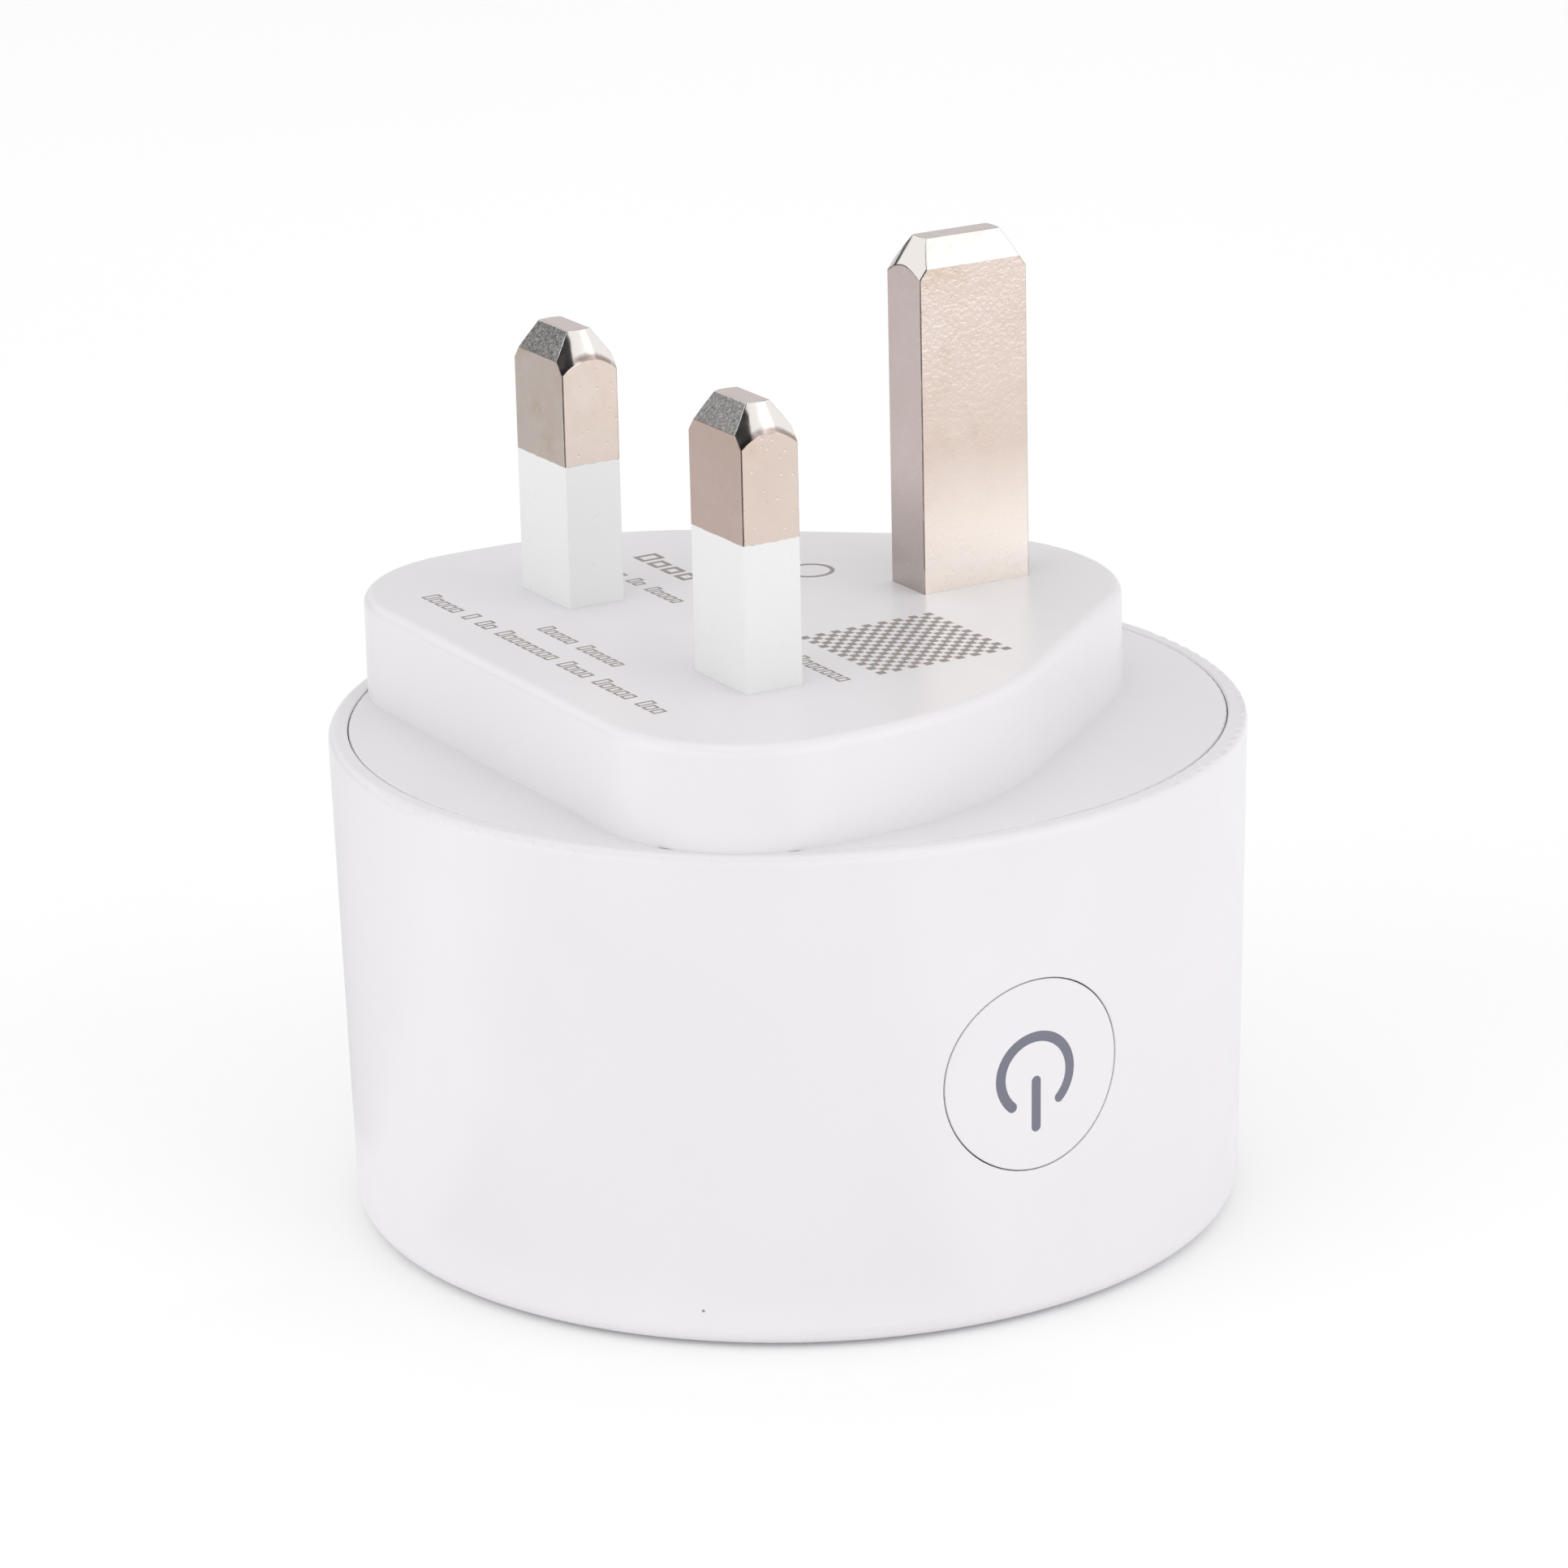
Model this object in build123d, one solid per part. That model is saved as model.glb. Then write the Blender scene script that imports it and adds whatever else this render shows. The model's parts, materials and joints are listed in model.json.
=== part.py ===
from build123d import *
from math import cos, hypot, radians, sin
import os

# A round smart plug for three-pin (BS 1363) sockets, in millimetres.
# The socket face lies on z = 0 and the plug pins point up, along +Z.
# +Y runs towards the earth pin, +X towards the neutral pin. The round body is centred on the Z axis.

# ---- body ----
BODY_HEIGHT = 31.6
PLUG_FACE_Z = 38.2
BOTTOM_R = 28.5
RIM_R = 29.1
BOTTOM_FILLET = 1.25
RIM_FILLET = 0.55
WALL = 2.0
FACE_THICK = 2.6
DISC_R = 27.8
DISC_THICK = 2.25
SEAM_GAP = 0.06
EASE = 0.12
DISC_Z = BODY_HEIGHT - DISC_THICK
LEDGE_R = 24.9
LEDGE_TOP_Z = 1.2
PLATE_GAP = 0.08

# ---- plug base, a rounded shield shape on the back cover ----
BASE_HALF_WIDTH = 24.5
BASE_FLAT_Y = -21.15
BASE_SHOULDER_Y = 0.0
BASE_NOSE_HALF = 6.0
BASE_NOSE_Y = 22.9
BASE_CORNER_R = 9.8
BASE_SHOULDER_R = 24.8
BASE_NOSE_R = 12.2
BASE_EDGE_FILLET = 0.7
BASE_WALL = 2.0
BASE_CEILING_Z = PLUG_FACE_Z - 2.2

# ---- pins and their places ----
PIN_PITCH = 22.23
LIVE_Y = -9.15
EARTH_Y = LIVE_Y + PIN_PITCH
PIN_WIDE = 6.35
PIN_THICK = 3.97
EARTH_WIDE = 7.92
PIN_LENGTH = 17.7
EARTH_LENGTH = 22.73
SLEEVE_LENGTH = 9.3
SLEEVE_WALL = 0.58
PIN_EDGE = 0.12
PIN_FIT = 0.02
TIP_SLOPE = 1.5
PIN_LAND = 2.03
EARTH_LAND = 2.83
FLAT_LAND = 0.8
FLAT_DROP = 1.7
LIVE_X = PIN_PITCH / 2
SIDES = (-1, 1)

# ---- pin heads, tails and the plate that holds them in the plug base ----
PIN_HEAD_Z = 33.9
HEAD_MARGIN = 1.4
TAIL_WIDE = 4.0
TAIL_THICK = 1.0
LIVE_TAIL_Z = 24.4
EARTH_TAIL_Z = 28.0
RETAINER_THICK = 2.0
RETAINER_SCREWS = ((0.0, -16.4), (-16.5, 3.0), (16.5, 3.0))

# ---- socket face ----
SLOT_LONG = 7.2
SLOT_SHORT = 4.8
EARTH_SLOT_LONG = 8.9
EARTH_SLOT_SHORT = 4.9
SLOT_CORNER = 0.6
SLOT_LEAD_IN = 0.4

# ---- shutter ----
SHUTTER_Z = 2.95
SHUTTER_THICK = 1.55
SHUTTER_TRAVEL = 6.2
WING_X = 15.3
WING_TOP_Y = -5.8
WING_LOW_Y = -12.6
SPINE_HALF = 2.2
RAMP_FOOT_Y = 8.9
RAMP_BACK_Y = 3.0
RAMP_TOP_Z = 9.7
SPRING_R = 1.3
SPRING_WIRE = 0.36
SPRING_TURNS = 9
SPRING_Z = 4.45
SPRING_STOP_Y = -24.2

# ---- contact carrier ----
CARRIER_Z = 4.7
CARRIER_THICK = 2.0
TOWER_WALL = 1.0
TOWER_X = 10.7
TOWER_Y = 10.0
TOWER_TOP = 20.0
EARTH_TOWER_X = 10.8
EARTH_TOWER_Y = 12.2
EARTH_TOWER_TOP = 24.2
CARRIER_EARS = ((-19.6, -5.0), (19.6, -5.0), (0.0, 22.4))
EAR_R = 2.75
CONTACT_THICK = 0.6

# ---- circuit board ----
BOARD_Z = 25.2
BOARD_THICK = 1.4
BOARD_R = 24.6
BOARD_TOP = BOARD_Z + BOARD_THICK
TRACK_THICK = 0.06
BOARD_POSTS = ((-18.9, -12.2), (18.9, -12.2), (17.2, 14.6))
POST_R = 2.3
SCREW_R = 1.1
SCREW_HEAD_R = 2.1
SCREW_HEAD = 1.4
SCREW_HOLE_R = 1.16

# ---- button, on the +X side ----
BUTTON_Z = 16.0
BUTTON_R = 6.08
BUTTON_GAP = 0.08
BUTTON_EASE = 0.08
BUTTON_FLANGE_R = 6.8
BUTTON_BACK_X = 24.6
BUTTON_FRONT_WALL_X = 27.4
BUTTON_BORE_R = 4.8
BUTTON_POST_X = 23.35
ICON_R = 2.47
ICON_STROKE = 0.66
ICON_GAP_ANGLE = 43.0
ICON_STEM_LOW = -3.35
ICON_STEM_HIGH = -0.4
BUTTON_BOARD_X = 18.0
BUTTON_BOARD_THICK = 1.2
SWITCH_X = BUTTON_BOARD_X + BUTTON_BOARD_THICK
SWITCH_DEPTH = 3.5
PLUNGER_R = 1.7
PLUNGER_FRONT_X = 23.1

# ---- relay ----
RELAY_X = -14.5
RELAY_Y = (-2.2, 16.3)
RELAY_Z = (9.6, 24.9)
RELAY_HALF = 5.1
RELAY_WALL = 0.8
COIL_Y = 3.4
CORE_FACE_Z = 12.0
YOKE_Y = 8.6
ARMATURE_Z = 10.2
ARMATURE_THICK = 1.2

RELAY_PIN_YS = (6.6, 9.4, 14.2)

# ---- small electronics ----
MAINS_CAPACITORS = ((9.3, 0.6), (9.3, 7.4))
OUTPUT_CAPACITOR = (14.6, 5.6)
INDUCTOR = (10.4, 15.8)
VARISTOR = (-9.0, -18.6)
SUPPRESSOR_LEADS = ((0.9, -18.5), (9.6, -18.5))
RESISTOR_X = -21.4
RESISTOR_LEAD_YS = (-9.9, 0.4)
LEAD_R = 0.3
LEAD_TOP = BOARD_TOP + 0.6
LEAD_SPREAD = 1.2
VARISTOR_SPREAD = 2.5
UNDERSIDE = BOARD_Z - 0.3
HEADER_X = 17.6
HEADER_YS = (-3.9, -1.3, 1.3, 3.9)

# ---- snap hooks ----
SKIRT_R = 26.85
SKIRT_THICK = 1.15
SKIRT_Z = 26.9
HOOK_ANGLES = (45, 135, 225, 315)


# ---- shapes that several pieces share ----
def block(x0, x1, y0, y1, z0, z1):
    """A box given by its lowest and highest coordinate on each axis."""
    middle = Pos((x0 + x1) / 2, (y0 + y1) / 2, (z0 + z1) / 2)
    return middle * Box(x1 - x0, y1 - y0, z1 - z0)


def centred(x, y, size_x, size_y, z0, z1):
    """An upright box whose middle is at x, y."""
    return block(x - size_x / 2, x + size_x / 2, y - size_y / 2, y + size_y / 2, z0, z1)


def rod(radius, z0, z1, x=0.0, y=0.0):
    """An upright round rod."""
    return Pos(x, y, (z0 + z1) / 2) * Cylinder(radius, z1 - z0)


def rod_x(radius, x0, x1, y=0.0, z=0.0):
    """A round rod along X."""
    return Pos((x0 + x1) / 2, y, z) * Rot(0, 90, 0) * Cylinder(radius, x1 - x0)


def rod_y(radius, y0, y1, x=0.0, z=0.0):
    """A round rod along Y."""
    return Pos(x, (y0 + y1) / 2, z) * Rot(90, 0, 0) * Cylinder(radius, y1 - y0)


def turned(points):
    """A solid of revolution about Z from its half section, given as radius and height."""
    return revolve(Plane.XZ * make_face(Polyline(*points, close=True)), axis=Axis.Z)


def along_x(points, x0, x1):
    """A section in Y and Z, extruded from x0 to x1."""
    section = Plane.YZ.offset(x0) * make_face(Polyline(*points, close=True))
    return extrude(section, x1 - x0)


def along_y(points, y0, y1):
    """A section in X and Z, extruded from y0 to y1."""
    section = Plane.XZ.offset(-y1) * make_face(Polyline(*points, close=True))
    return extrude(section, y1 - y0)


def strip(points, thickness):
    """The outline of a bent sheet strip of even thickness, about its centre line."""
    one_side = []
    other_side = []
    steps = [(b[0] - a[0], b[1] - a[1]) for a, b in zip(points, points[1:])]
    normals = [(-dy / hypot(dx, dy), dx / hypot(dx, dy)) for dx, dy in steps]
    for i, (x, y) in enumerate(points):
        first = normals[max(i - 1, 0)]
        second = normals[min(i, len(normals) - 1)]
        mix = (first[0] + second[0], first[1] + second[1])
        reach = thickness / (mix[0] ** 2 + mix[1] ** 2)
        one_side.append((x + mix[0] * reach, y + mix[1] * reach))
        other_side.append((x - mix[0] * reach, y - mix[1] * reach))
    return one_side + other_side[::-1]


def screw(x, y, seat_z, length, up=1):
    """A pan-head screw seated at seat_z. Its head is above the seat when up is 1, below it when -1."""
    ends = sorted((seat_z, seat_z + up * SCREW_HEAD))
    tip = sorted((seat_z, seat_z - up * length))
    head = rod(SCREW_HEAD_R, ends[0], ends[1], x, y)
    crown = head.edges().filter_by(GeomType.CIRCLE).group_by(Axis.Z)[-1 if up == 1 else 0]
    head = fillet(crown, 0.5)
    slot_z = ends[1] if up == 1 else ends[0]
    head -= centred(x, y, 2.2, 0.5, slot_z - 0.6, slot_z + 0.6)
    head -= centred(x, y, 0.5, 2.2, slot_z - 0.6, slot_z + 0.6)
    return head + rod(SCREW_R, tip[0], tip[1], x, y)


def base_outline():
    """The plug base's outline: a straight side by the live pins, a rounded nose by the earth pin."""
    corners = [
        (BASE_HALF_WIDTH, BASE_FLAT_Y),
        (BASE_HALF_WIDTH, BASE_SHOULDER_Y),
        (BASE_NOSE_HALF, BASE_NOSE_Y),
        (-BASE_NOSE_HALF, BASE_NOSE_Y),
        (-BASE_HALF_WIDTH, BASE_SHOULDER_Y),
        (-BASE_HALF_WIDTH, BASE_FLAT_Y),
    ]
    radii = [BASE_CORNER_R, BASE_SHOULDER_R, BASE_NOSE_R, BASE_NOSE_R, BASE_SHOULDER_R, BASE_CORNER_R]
    return make_face(FilletPolyline(*corners, radius=radii, close=True))


def body_solid(shrink=0.0):
    """The round body without its hollow, drawn in by shrink."""
    profile = [
        (0, 0),
        (BOTTOM_R - shrink, 0),
        (RIM_R - shrink, BODY_HEIGHT),
        (0, BODY_HEIGHT),
    ]
    return turned(profile)


def rings_along_x(solid, radius, beyond_x):
    """The edges of a round form of that radius along X that lie beyond beyond_x."""
    boxes = [(edge, edge.bounding_box()) for edge in solid.edges()]
    return [edge for edge, box in boxes if box.min.X > beyond_x and abs(box.size.Z - 2 * radius) < 0.1]


def slot_places():
    """Each socket slot: middle x, middle y, size along X, size along Y."""
    live = [(side * LIVE_X, LIVE_Y, SLOT_LONG, SLOT_SHORT) for side in SIDES]
    return live + [(0.0, EARTH_Y, EARTH_SLOT_SHORT, EARTH_SLOT_LONG)]


# ---- shells ----
def make_main_shell():
    """The round wall, with a ledge inside its lower edge that carries the socket plate."""
    shell = body_solid()
    shell = fillet(shell.edges().filter_by(GeomType.CIRCLE).group_by(Axis.Z)[0], BOTTOM_FILLET)
    shell = fillet(shell.edges().filter_by(GeomType.CIRCLE).group_by(Axis.Z)[-1], RIM_FILLET)
    hollow = [
        (0, LEDGE_TOP_Z),
        (BOTTOM_R - WALL, LEDGE_TOP_Z),
        (RIM_R - WALL, DISC_Z),
        (0, DISC_Z),
    ]
    shell -= turned(hollow)
    shell -= rod(LEDGE_R, -1, LEDGE_TOP_Z + 1)
    shell -= rod(DISC_R + SEAM_GAP, DISC_Z, BODY_HEIGHT + 1)
    mouth = shell.edges().filter_by(GeomType.CIRCLE).group_by(Axis.Z)[-1].sort_by(SortBy.RADIUS)[0]
    shell = fillet(mouth, EASE)
    shell -= rod_x(BUTTON_R + BUTTON_GAP, 20, RIM_R + 2, 0, BUTTON_Z)
    shell = fillet(rings_along_x(shell, BUTTON_R + BUTTON_GAP, BOTTOM_R - WALL / 2), BUTTON_EASE)
    pocket = rod(DISC_R - 0.2, 27.4, 28.9) - rod(SKIRT_R - 0.5, 27, 29)
    for angle in HOOK_ANGLES:
        shell -= pocket & Rot(0, 0, angle) * block(20, 30, -3.6, 3.6, 27, 29)
    return shell


def make_socket_plate():
    """The round socket face, with its slots, the screw posts and the shutter spring's stop."""
    plate = rod(LEDGE_R - PLATE_GAP, 0, FACE_THICK)
    plate += rod(BOTTOM_R - WALL - PLATE_GAP, LEDGE_TOP_Z, FACE_THICK)
    for x, y, size_x, size_y in slot_places():
        slot = RectangleRounded(size_x, size_y, SLOT_CORNER)
        plate -= Pos(x, y, -1) * extrude(slot, FACE_THICK + 2)
        mouth = RectangleRounded(size_x + 2 * SLOT_LEAD_IN, size_y + 2 * SLOT_LEAD_IN, SLOT_CORNER)
        plate -= Pos(x, y, 0) * extrude(mouth, SLOT_LEAD_IN, taper=45)
    for x, y in BOARD_POSTS:
        plate += rod(POST_R, FACE_THICK, BOARD_Z, x, y)
        plate -= rod(SCREW_HOLE_R, BOARD_Z - 6, BOARD_Z + 1, x, y)
    for x, y in CARRIER_EARS:
        plate += rod(EAR_R, FACE_THICK, CARRIER_Z, x, y)
        plate -= rod(SCREW_HOLE_R, 1.1, CARRIER_Z + 1, x, y)
    plate += block(-2.5, 2.5, SPRING_STOP_Y - 1.4, SPRING_STOP_Y, FACE_THICK, 6.4)
    plate += rod_y(0.7, SPRING_STOP_Y, SPRING_STOP_Y + 1.6, 0, SPRING_Z)
    return plate


def make_back_cover():
    outline = base_outline()
    cover = rod(DISC_R, DISC_Z, BODY_HEIGHT)
    cover = fillet(cover.edges().group_by(Axis.Z)[-1], EASE)
    base = Pos(0, 0, BODY_HEIGHT) * extrude(outline, PLUG_FACE_Z - BODY_HEIGHT)
    base = fillet(base.faces().sort_by(Axis.Z)[-1].edges(), BASE_EDGE_FILLET)
    cover += base
    hollow = offset(outline, -BASE_WALL)
    cover -= Pos(0, 0, DISC_Z - 1) * extrude(hollow, BASE_CEILING_Z - DISC_Z + 1)
    for x, y, size_x, size_y, _ in pin_places():
        cover -= centred(x, y, size_x + PIN_FIT, size_y + PIN_FIT, BASE_CEILING_Z - 1, PLUG_FACE_Z + 1)
    for x, y in RETAINER_SCREWS:
        cover += rod(2.5, PIN_HEAD_Z, BASE_CEILING_Z, x, y)
        cover -= rod(SCREW_HOLE_R, PIN_HEAD_Z - 1, PLUG_FACE_Z - 0.9, x, y)
    skirt = rod(SKIRT_R, SKIRT_Z, DISC_Z) - rod(SKIRT_R - SKIRT_THICK, SKIRT_Z - 1, DISC_Z + 1)
    hooks = rod(DISC_R - 0.35, 27.6, 28.6) - rod(SKIRT_R - 0.3, 27, 29)
    for angle in HOOK_ANGLES:
        skirt += hooks & Rot(0, 0, angle) * block(20, 30, -3, 3, 27, 29)
    return cover + skirt


# ---- pins ----
def pin_places():
    """Each plug pin: middle x, middle y, size along X, size along Y, length."""
    live = [(side * LIVE_X, LIVE_Y, PIN_WIDE, PIN_THICK, PIN_LENGTH) for side in SIDES]
    return live + [(0.0, EARTH_Y, PIN_THICK, EARTH_WIDE, EARTH_LENGTH)]


def edged_bar(x, y, size_x, size_y, z0, z1):
    """An upright bar with its four long edges eased."""
    bar = centred(x, y, size_x, size_y, z0, z1)
    return fillet(bar.edges().filter_by(Axis.Z), PIN_EDGE)


def tipped_bar(x, y, size_x, size_y, z0, tip):
    """An upright bar cut to a tip, with every edge eased but those of its foot."""
    bar = centred(x, y, size_x, size_y, z0, z0 + 60) & tip
    eased = [edge for edge in bar.edges() if edge.bounding_box().max.Z > z0 + 1]
    return fillet(eased, PIN_EDGE)


def tip_limit(x, y, tip_z, land, flat_along_x):
    """The space a pin's tip keeps to: a turned cone on its axis, and two flats on its broad faces."""
    low = tip_z - 60
    wide = 8.0
    cone = [(0, low), (wide, low), (wide, tip_z - TIP_SLOPE * (wide - land)), (land, tip_z), (0, tip_z)]
    half = PIN_THICK / 2
    far = half + 3
    drop = FLAT_DROP * (far - FLAT_LAND) / (half - FLAT_LAND)
    roof = [
        (-far, low),
        (far, low),
        (far, tip_z - drop),
        (FLAT_LAND, tip_z),
        (-FLAT_LAND, tip_z),
        (-far, tip_z - drop),
    ]
    flats = along_x(roof, -10, 10) if flat_along_x else along_y(roof, -10, 10)
    return Pos(x, y, 0) * (turned(cone) & flats)


def make_live_pin(side):
    """The line or the neutral pin: a bare end, a waist under the sleeve, a head and a tail."""
    x = side * LIVE_X
    tip_z = PLUG_FACE_Z + PIN_LENGTH
    sleeve_z = PLUG_FACE_Z + SLEEVE_LENGTH
    tip = tip_limit(x, LIVE_Y, tip_z, PIN_LAND, True)
    pin = tipped_bar(x, LIVE_Y, PIN_WIDE, PIN_THICK, sleeve_z, tip)
    waist = (PIN_WIDE - 2 * SLEEVE_WALL, PIN_THICK - 2 * SLEEVE_WALL)
    pin += centred(x, LIVE_Y, waist[0], waist[1], BASE_CEILING_Z - 1, sleeve_z)
    head = (PIN_WIDE + 2 * HEAD_MARGIN, PIN_THICK + 2 * HEAD_MARGIN)
    pin += centred(x, LIVE_Y, head[0], head[1], PIN_HEAD_Z, BASE_CEILING_Z)
    pin += centred(x, LIVE_Y, TAIL_WIDE, TAIL_THICK, LIVE_TAIL_Z, PIN_HEAD_Z)
    return pin


def make_sleeve(side):
    x = side * LIVE_X
    top = PLUG_FACE_Z + SLEEVE_LENGTH
    sleeve = edged_bar(x, LIVE_Y, PIN_WIDE, PIN_THICK, BASE_CEILING_Z, top)
    waist = (PIN_WIDE - 2 * SLEEVE_WALL, PIN_THICK - 2 * SLEEVE_WALL)
    return sleeve - centred(x, LIVE_Y, waist[0], waist[1], BASE_CEILING_Z - 1, top + 1)


def make_earth_pin():
    tip_z = PLUG_FACE_Z + EARTH_LENGTH
    tip = tip_limit(0, EARTH_Y, tip_z, EARTH_LAND, False)
    pin = tipped_bar(0, EARTH_Y, PIN_THICK, EARTH_WIDE, BASE_CEILING_Z, tip)
    head = (PIN_THICK + 2 * HEAD_MARGIN, EARTH_WIDE + 2 * HEAD_MARGIN)
    pin += centred(0, EARTH_Y, head[0], head[1], PIN_HEAD_Z, BASE_CEILING_Z)
    pin += centred(0, EARTH_Y, TAIL_THICK, TAIL_WIDE, EARTH_TAIL_Z, PIN_HEAD_Z)
    return pin


def make_pin_retainer():
    low = PIN_HEAD_Z - RETAINER_THICK
    plate = Pos(0, 0, low) * extrude(offset(base_outline(), -BASE_WALL - 0.3), RETAINER_THICK)
    for side in SIDES:
        plate -= centred(side * LIVE_X, LIVE_Y, TAIL_WIDE + 0.6, TAIL_THICK + 0.6, low - 1, PIN_HEAD_Z + 1)
    plate -= centred(0, EARTH_Y, TAIL_THICK + 2.4, TAIL_WIDE + 1.6, low - 1, PIN_HEAD_Z + 1)
    for x, y in RETAINER_SCREWS:
        plate -= rod(SCREW_HOLE_R, low - 1, PIN_HEAD_Z + 1, x, y)
    return plate


def make_retainer_screws():
    seat = PIN_HEAD_Z - RETAINER_THICK
    return [screw(x, y, seat, 5.2, up=-1) for x, y in RETAINER_SCREWS]


# ---- socket side ----
def make_shutter():
    top = SHUTTER_Z + SHUTTER_THICK
    shutter = block(-WING_X, WING_X, WING_LOW_Y, WING_TOP_Y, SHUTTER_Z, top)
    shutter += block(-SPINE_HALF, SPINE_HALF, WING_TOP_Y - 1, RAMP_BACK_Y + 1, SHUTTER_Z, top)
    ramp_rise = SHUTTER_TRAVEL
    ramp = [
        (RAMP_BACK_Y, SHUTTER_Z),
        (RAMP_FOOT_Y, SHUTTER_Z),
        (RAMP_FOOT_Y + ramp_rise, SHUTTER_Z + ramp_rise),
        (RAMP_FOOT_Y + ramp_rise, RAMP_TOP_Z),
        (RAMP_BACK_Y, RAMP_TOP_Z),
    ]
    shutter += along_x(ramp, -SPINE_HALF, SPINE_HALF)
    shutter += block(-2, 2, WING_LOW_Y, WING_LOW_Y + 1.6, SHUTTER_Z, 5.95)
    shutter += rod_y(0.7, WING_LOW_Y - 1.6, WING_LOW_Y, 0, SPRING_Z)
    for side in SIDES:
        recess = centred(side * LIVE_X, (WING_LOW_Y + WING_TOP_Y) / 2, 6.4, 4.2, top - 0.5, top + 1)
        shutter -= recess
    return shutter


def make_shutter_spring():
    """A compression spring along Y between the shutter and the shell's stop, with flat end turns."""
    low = SPRING_STOP_Y + 0.05
    high = WING_LOW_Y - 0.05
    length = high - low - SPRING_WIRE
    path = Helix(pitch=length / SPRING_TURNS, height=length, radius=SPRING_R)
    wire = sweep(Plane(path @ 0, z_dir=path % 0) * Circle(SPRING_WIRE / 2), path, is_frenet=True)
    return Pos(0, low + SPRING_WIRE / 2, SPRING_Z) * Rot(-90, 0, 0) * wire


def carrier_tower(x, y, size_x, size_y, top):
    """A hollow tower that holds one contact."""
    low = CARRIER_Z + CARRIER_THICK
    tower = centred(x, y, size_x, size_y, low, top)
    inside = (size_x - 2 * TOWER_WALL, size_y - 2 * TOWER_WALL)
    return tower - centred(x, y, inside[0], inside[1], low - 1, top + 1)


def make_contact_carrier():
    low = CARRIER_Z
    top = CARRIER_Z + CARRIER_THICK
    carrier = block(-16.5, 16.5, -14.5, -3.5, low, top)
    carrier += block(-8, 8, -4, 20.2, low, top)
    for x, y in CARRIER_EARS:
        carrier += rod(EAR_R, low, top, x, y)
    for side in SIDES:
        ends = sorted((side * 14, side * 19.6))
        carrier += block(ends[0], ends[1], -7, -3.5, low, top)
        rail = sorted((side * (WING_X + 0.2), side * 16.5))
        carrier += block(rail[0], rail[1], -14.5, -3.5, FACE_THICK, low)
        guide = sorted((side * (SPINE_HALF + 0.35), side * 8))
        carrier += block(guide[0], guide[1], -4.8, 20.2, FACE_THICK, low)
        tower = carrier_tower(side * LIVE_X, LIVE_Y, TOWER_X, TOWER_Y, TOWER_TOP)
        carrier += tower
        carrier -= centred(side * LIVE_X, LIVE_Y, SLOT_LONG, SLOT_SHORT, low - 1, top + 1)
    carrier += block(-3, 3, 18, 22.4, low, top)
    carrier += carrier_tower(0, EARTH_Y, EARTH_TOWER_X, EARTH_TOWER_Y, EARTH_TOWER_TOP)
    carrier -= centred(0, EARTH_Y, EARTH_SLOT_SHORT, EARTH_SLOT_LONG, FACE_THICK - 1, top + 1)
    channel_low = RAMP_BACK_Y - SHUTTER_TRAVEL - 0.35
    carrier -= block(-SPINE_HALF - 0.35, SPINE_HALF + 0.35, channel_low, 15.5, low - 3, RAMP_TOP_Z + 0.3)
    carrier -= block(-2.5, 2.5, -15, WING_LOW_Y + 2.2, low - 1, top + 1)
    for x, y in CARRIER_EARS:
        carrier -= rod(SCREW_HOLE_R + 0.1, low - 1, top + 1, x, y)
    return carrier


def make_carrier_screws():
    return [screw(x, y, CARRIER_Z + CARRIER_THICK, 5.2) for x, y in CARRIER_EARS]


def jaw_profile(low, throat, shoulder, top):
    """Half of a contact's centre line, from the flared mouth up to the bridge: offset and height."""
    return [(2.9, low), (2.05, throat), (2.05, throat + 2), (3.2, shoulder), (3.2, top)]


def make_live_contact(side):
    """Two sprung jaws on a bridge, with a soldering tab up to the board."""
    half = jaw_profile(7.7, 10.6, 15.2, 18.9)
    line = [(LIVE_Y - y, z) for y, z in half] + [(LIVE_Y + y, z) for y, z in half[::-1]]
    x = side * LIVE_X
    contact = along_x(strip(line, CONTACT_THICK), x - 3.2, x + 3.2)
    tab_y = LIVE_Y - 3.2
    contact += centred(x, tab_y, 3.0, CONTACT_THICK, 18.6, BOARD_TOP + 0.8)
    return contact


def make_earth_contact():
    half = jaw_profile(10.5, 13.4, 18.0, 23.8)
    line = [(-x, z) for x, z in half] + half[::-1]
    return along_y(strip(line, CONTACT_THICK), EARTH_Y - 3.8, EARTH_Y + 3.8)


def make_earth_strap():
    """The bent strap that joins the earth contact's bridge to the earth pin's tail."""
    foot_z = 23.8 + CONTACT_THICK / 2
    line = [(-2.6, foot_z + 0.3), (0.8, foot_z + 0.3), (0.8, EARTH_TAIL_Z + 3.6)]
    return along_y(strip(line, 0.6), EARTH_Y - 2.2, EARTH_Y + 2.2)


# ---- main board ----
def lead_places():
    """Where the hanging parts' wire leads pass through the board."""
    cans = MAINS_CAPACITORS + (OUTPUT_CAPACITOR, INDUCTOR)
    places = [(x, y + side * LEAD_SPREAD) for x, y in cans for side in SIDES]
    places += [(VARISTOR[0] + side * VARISTOR_SPREAD, VARISTOR[1]) for side in SIDES]
    places += SUPPRESSOR_LEADS
    return places + [(RESISTOR_X, y) for y in RESISTOR_LEAD_YS]


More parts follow.
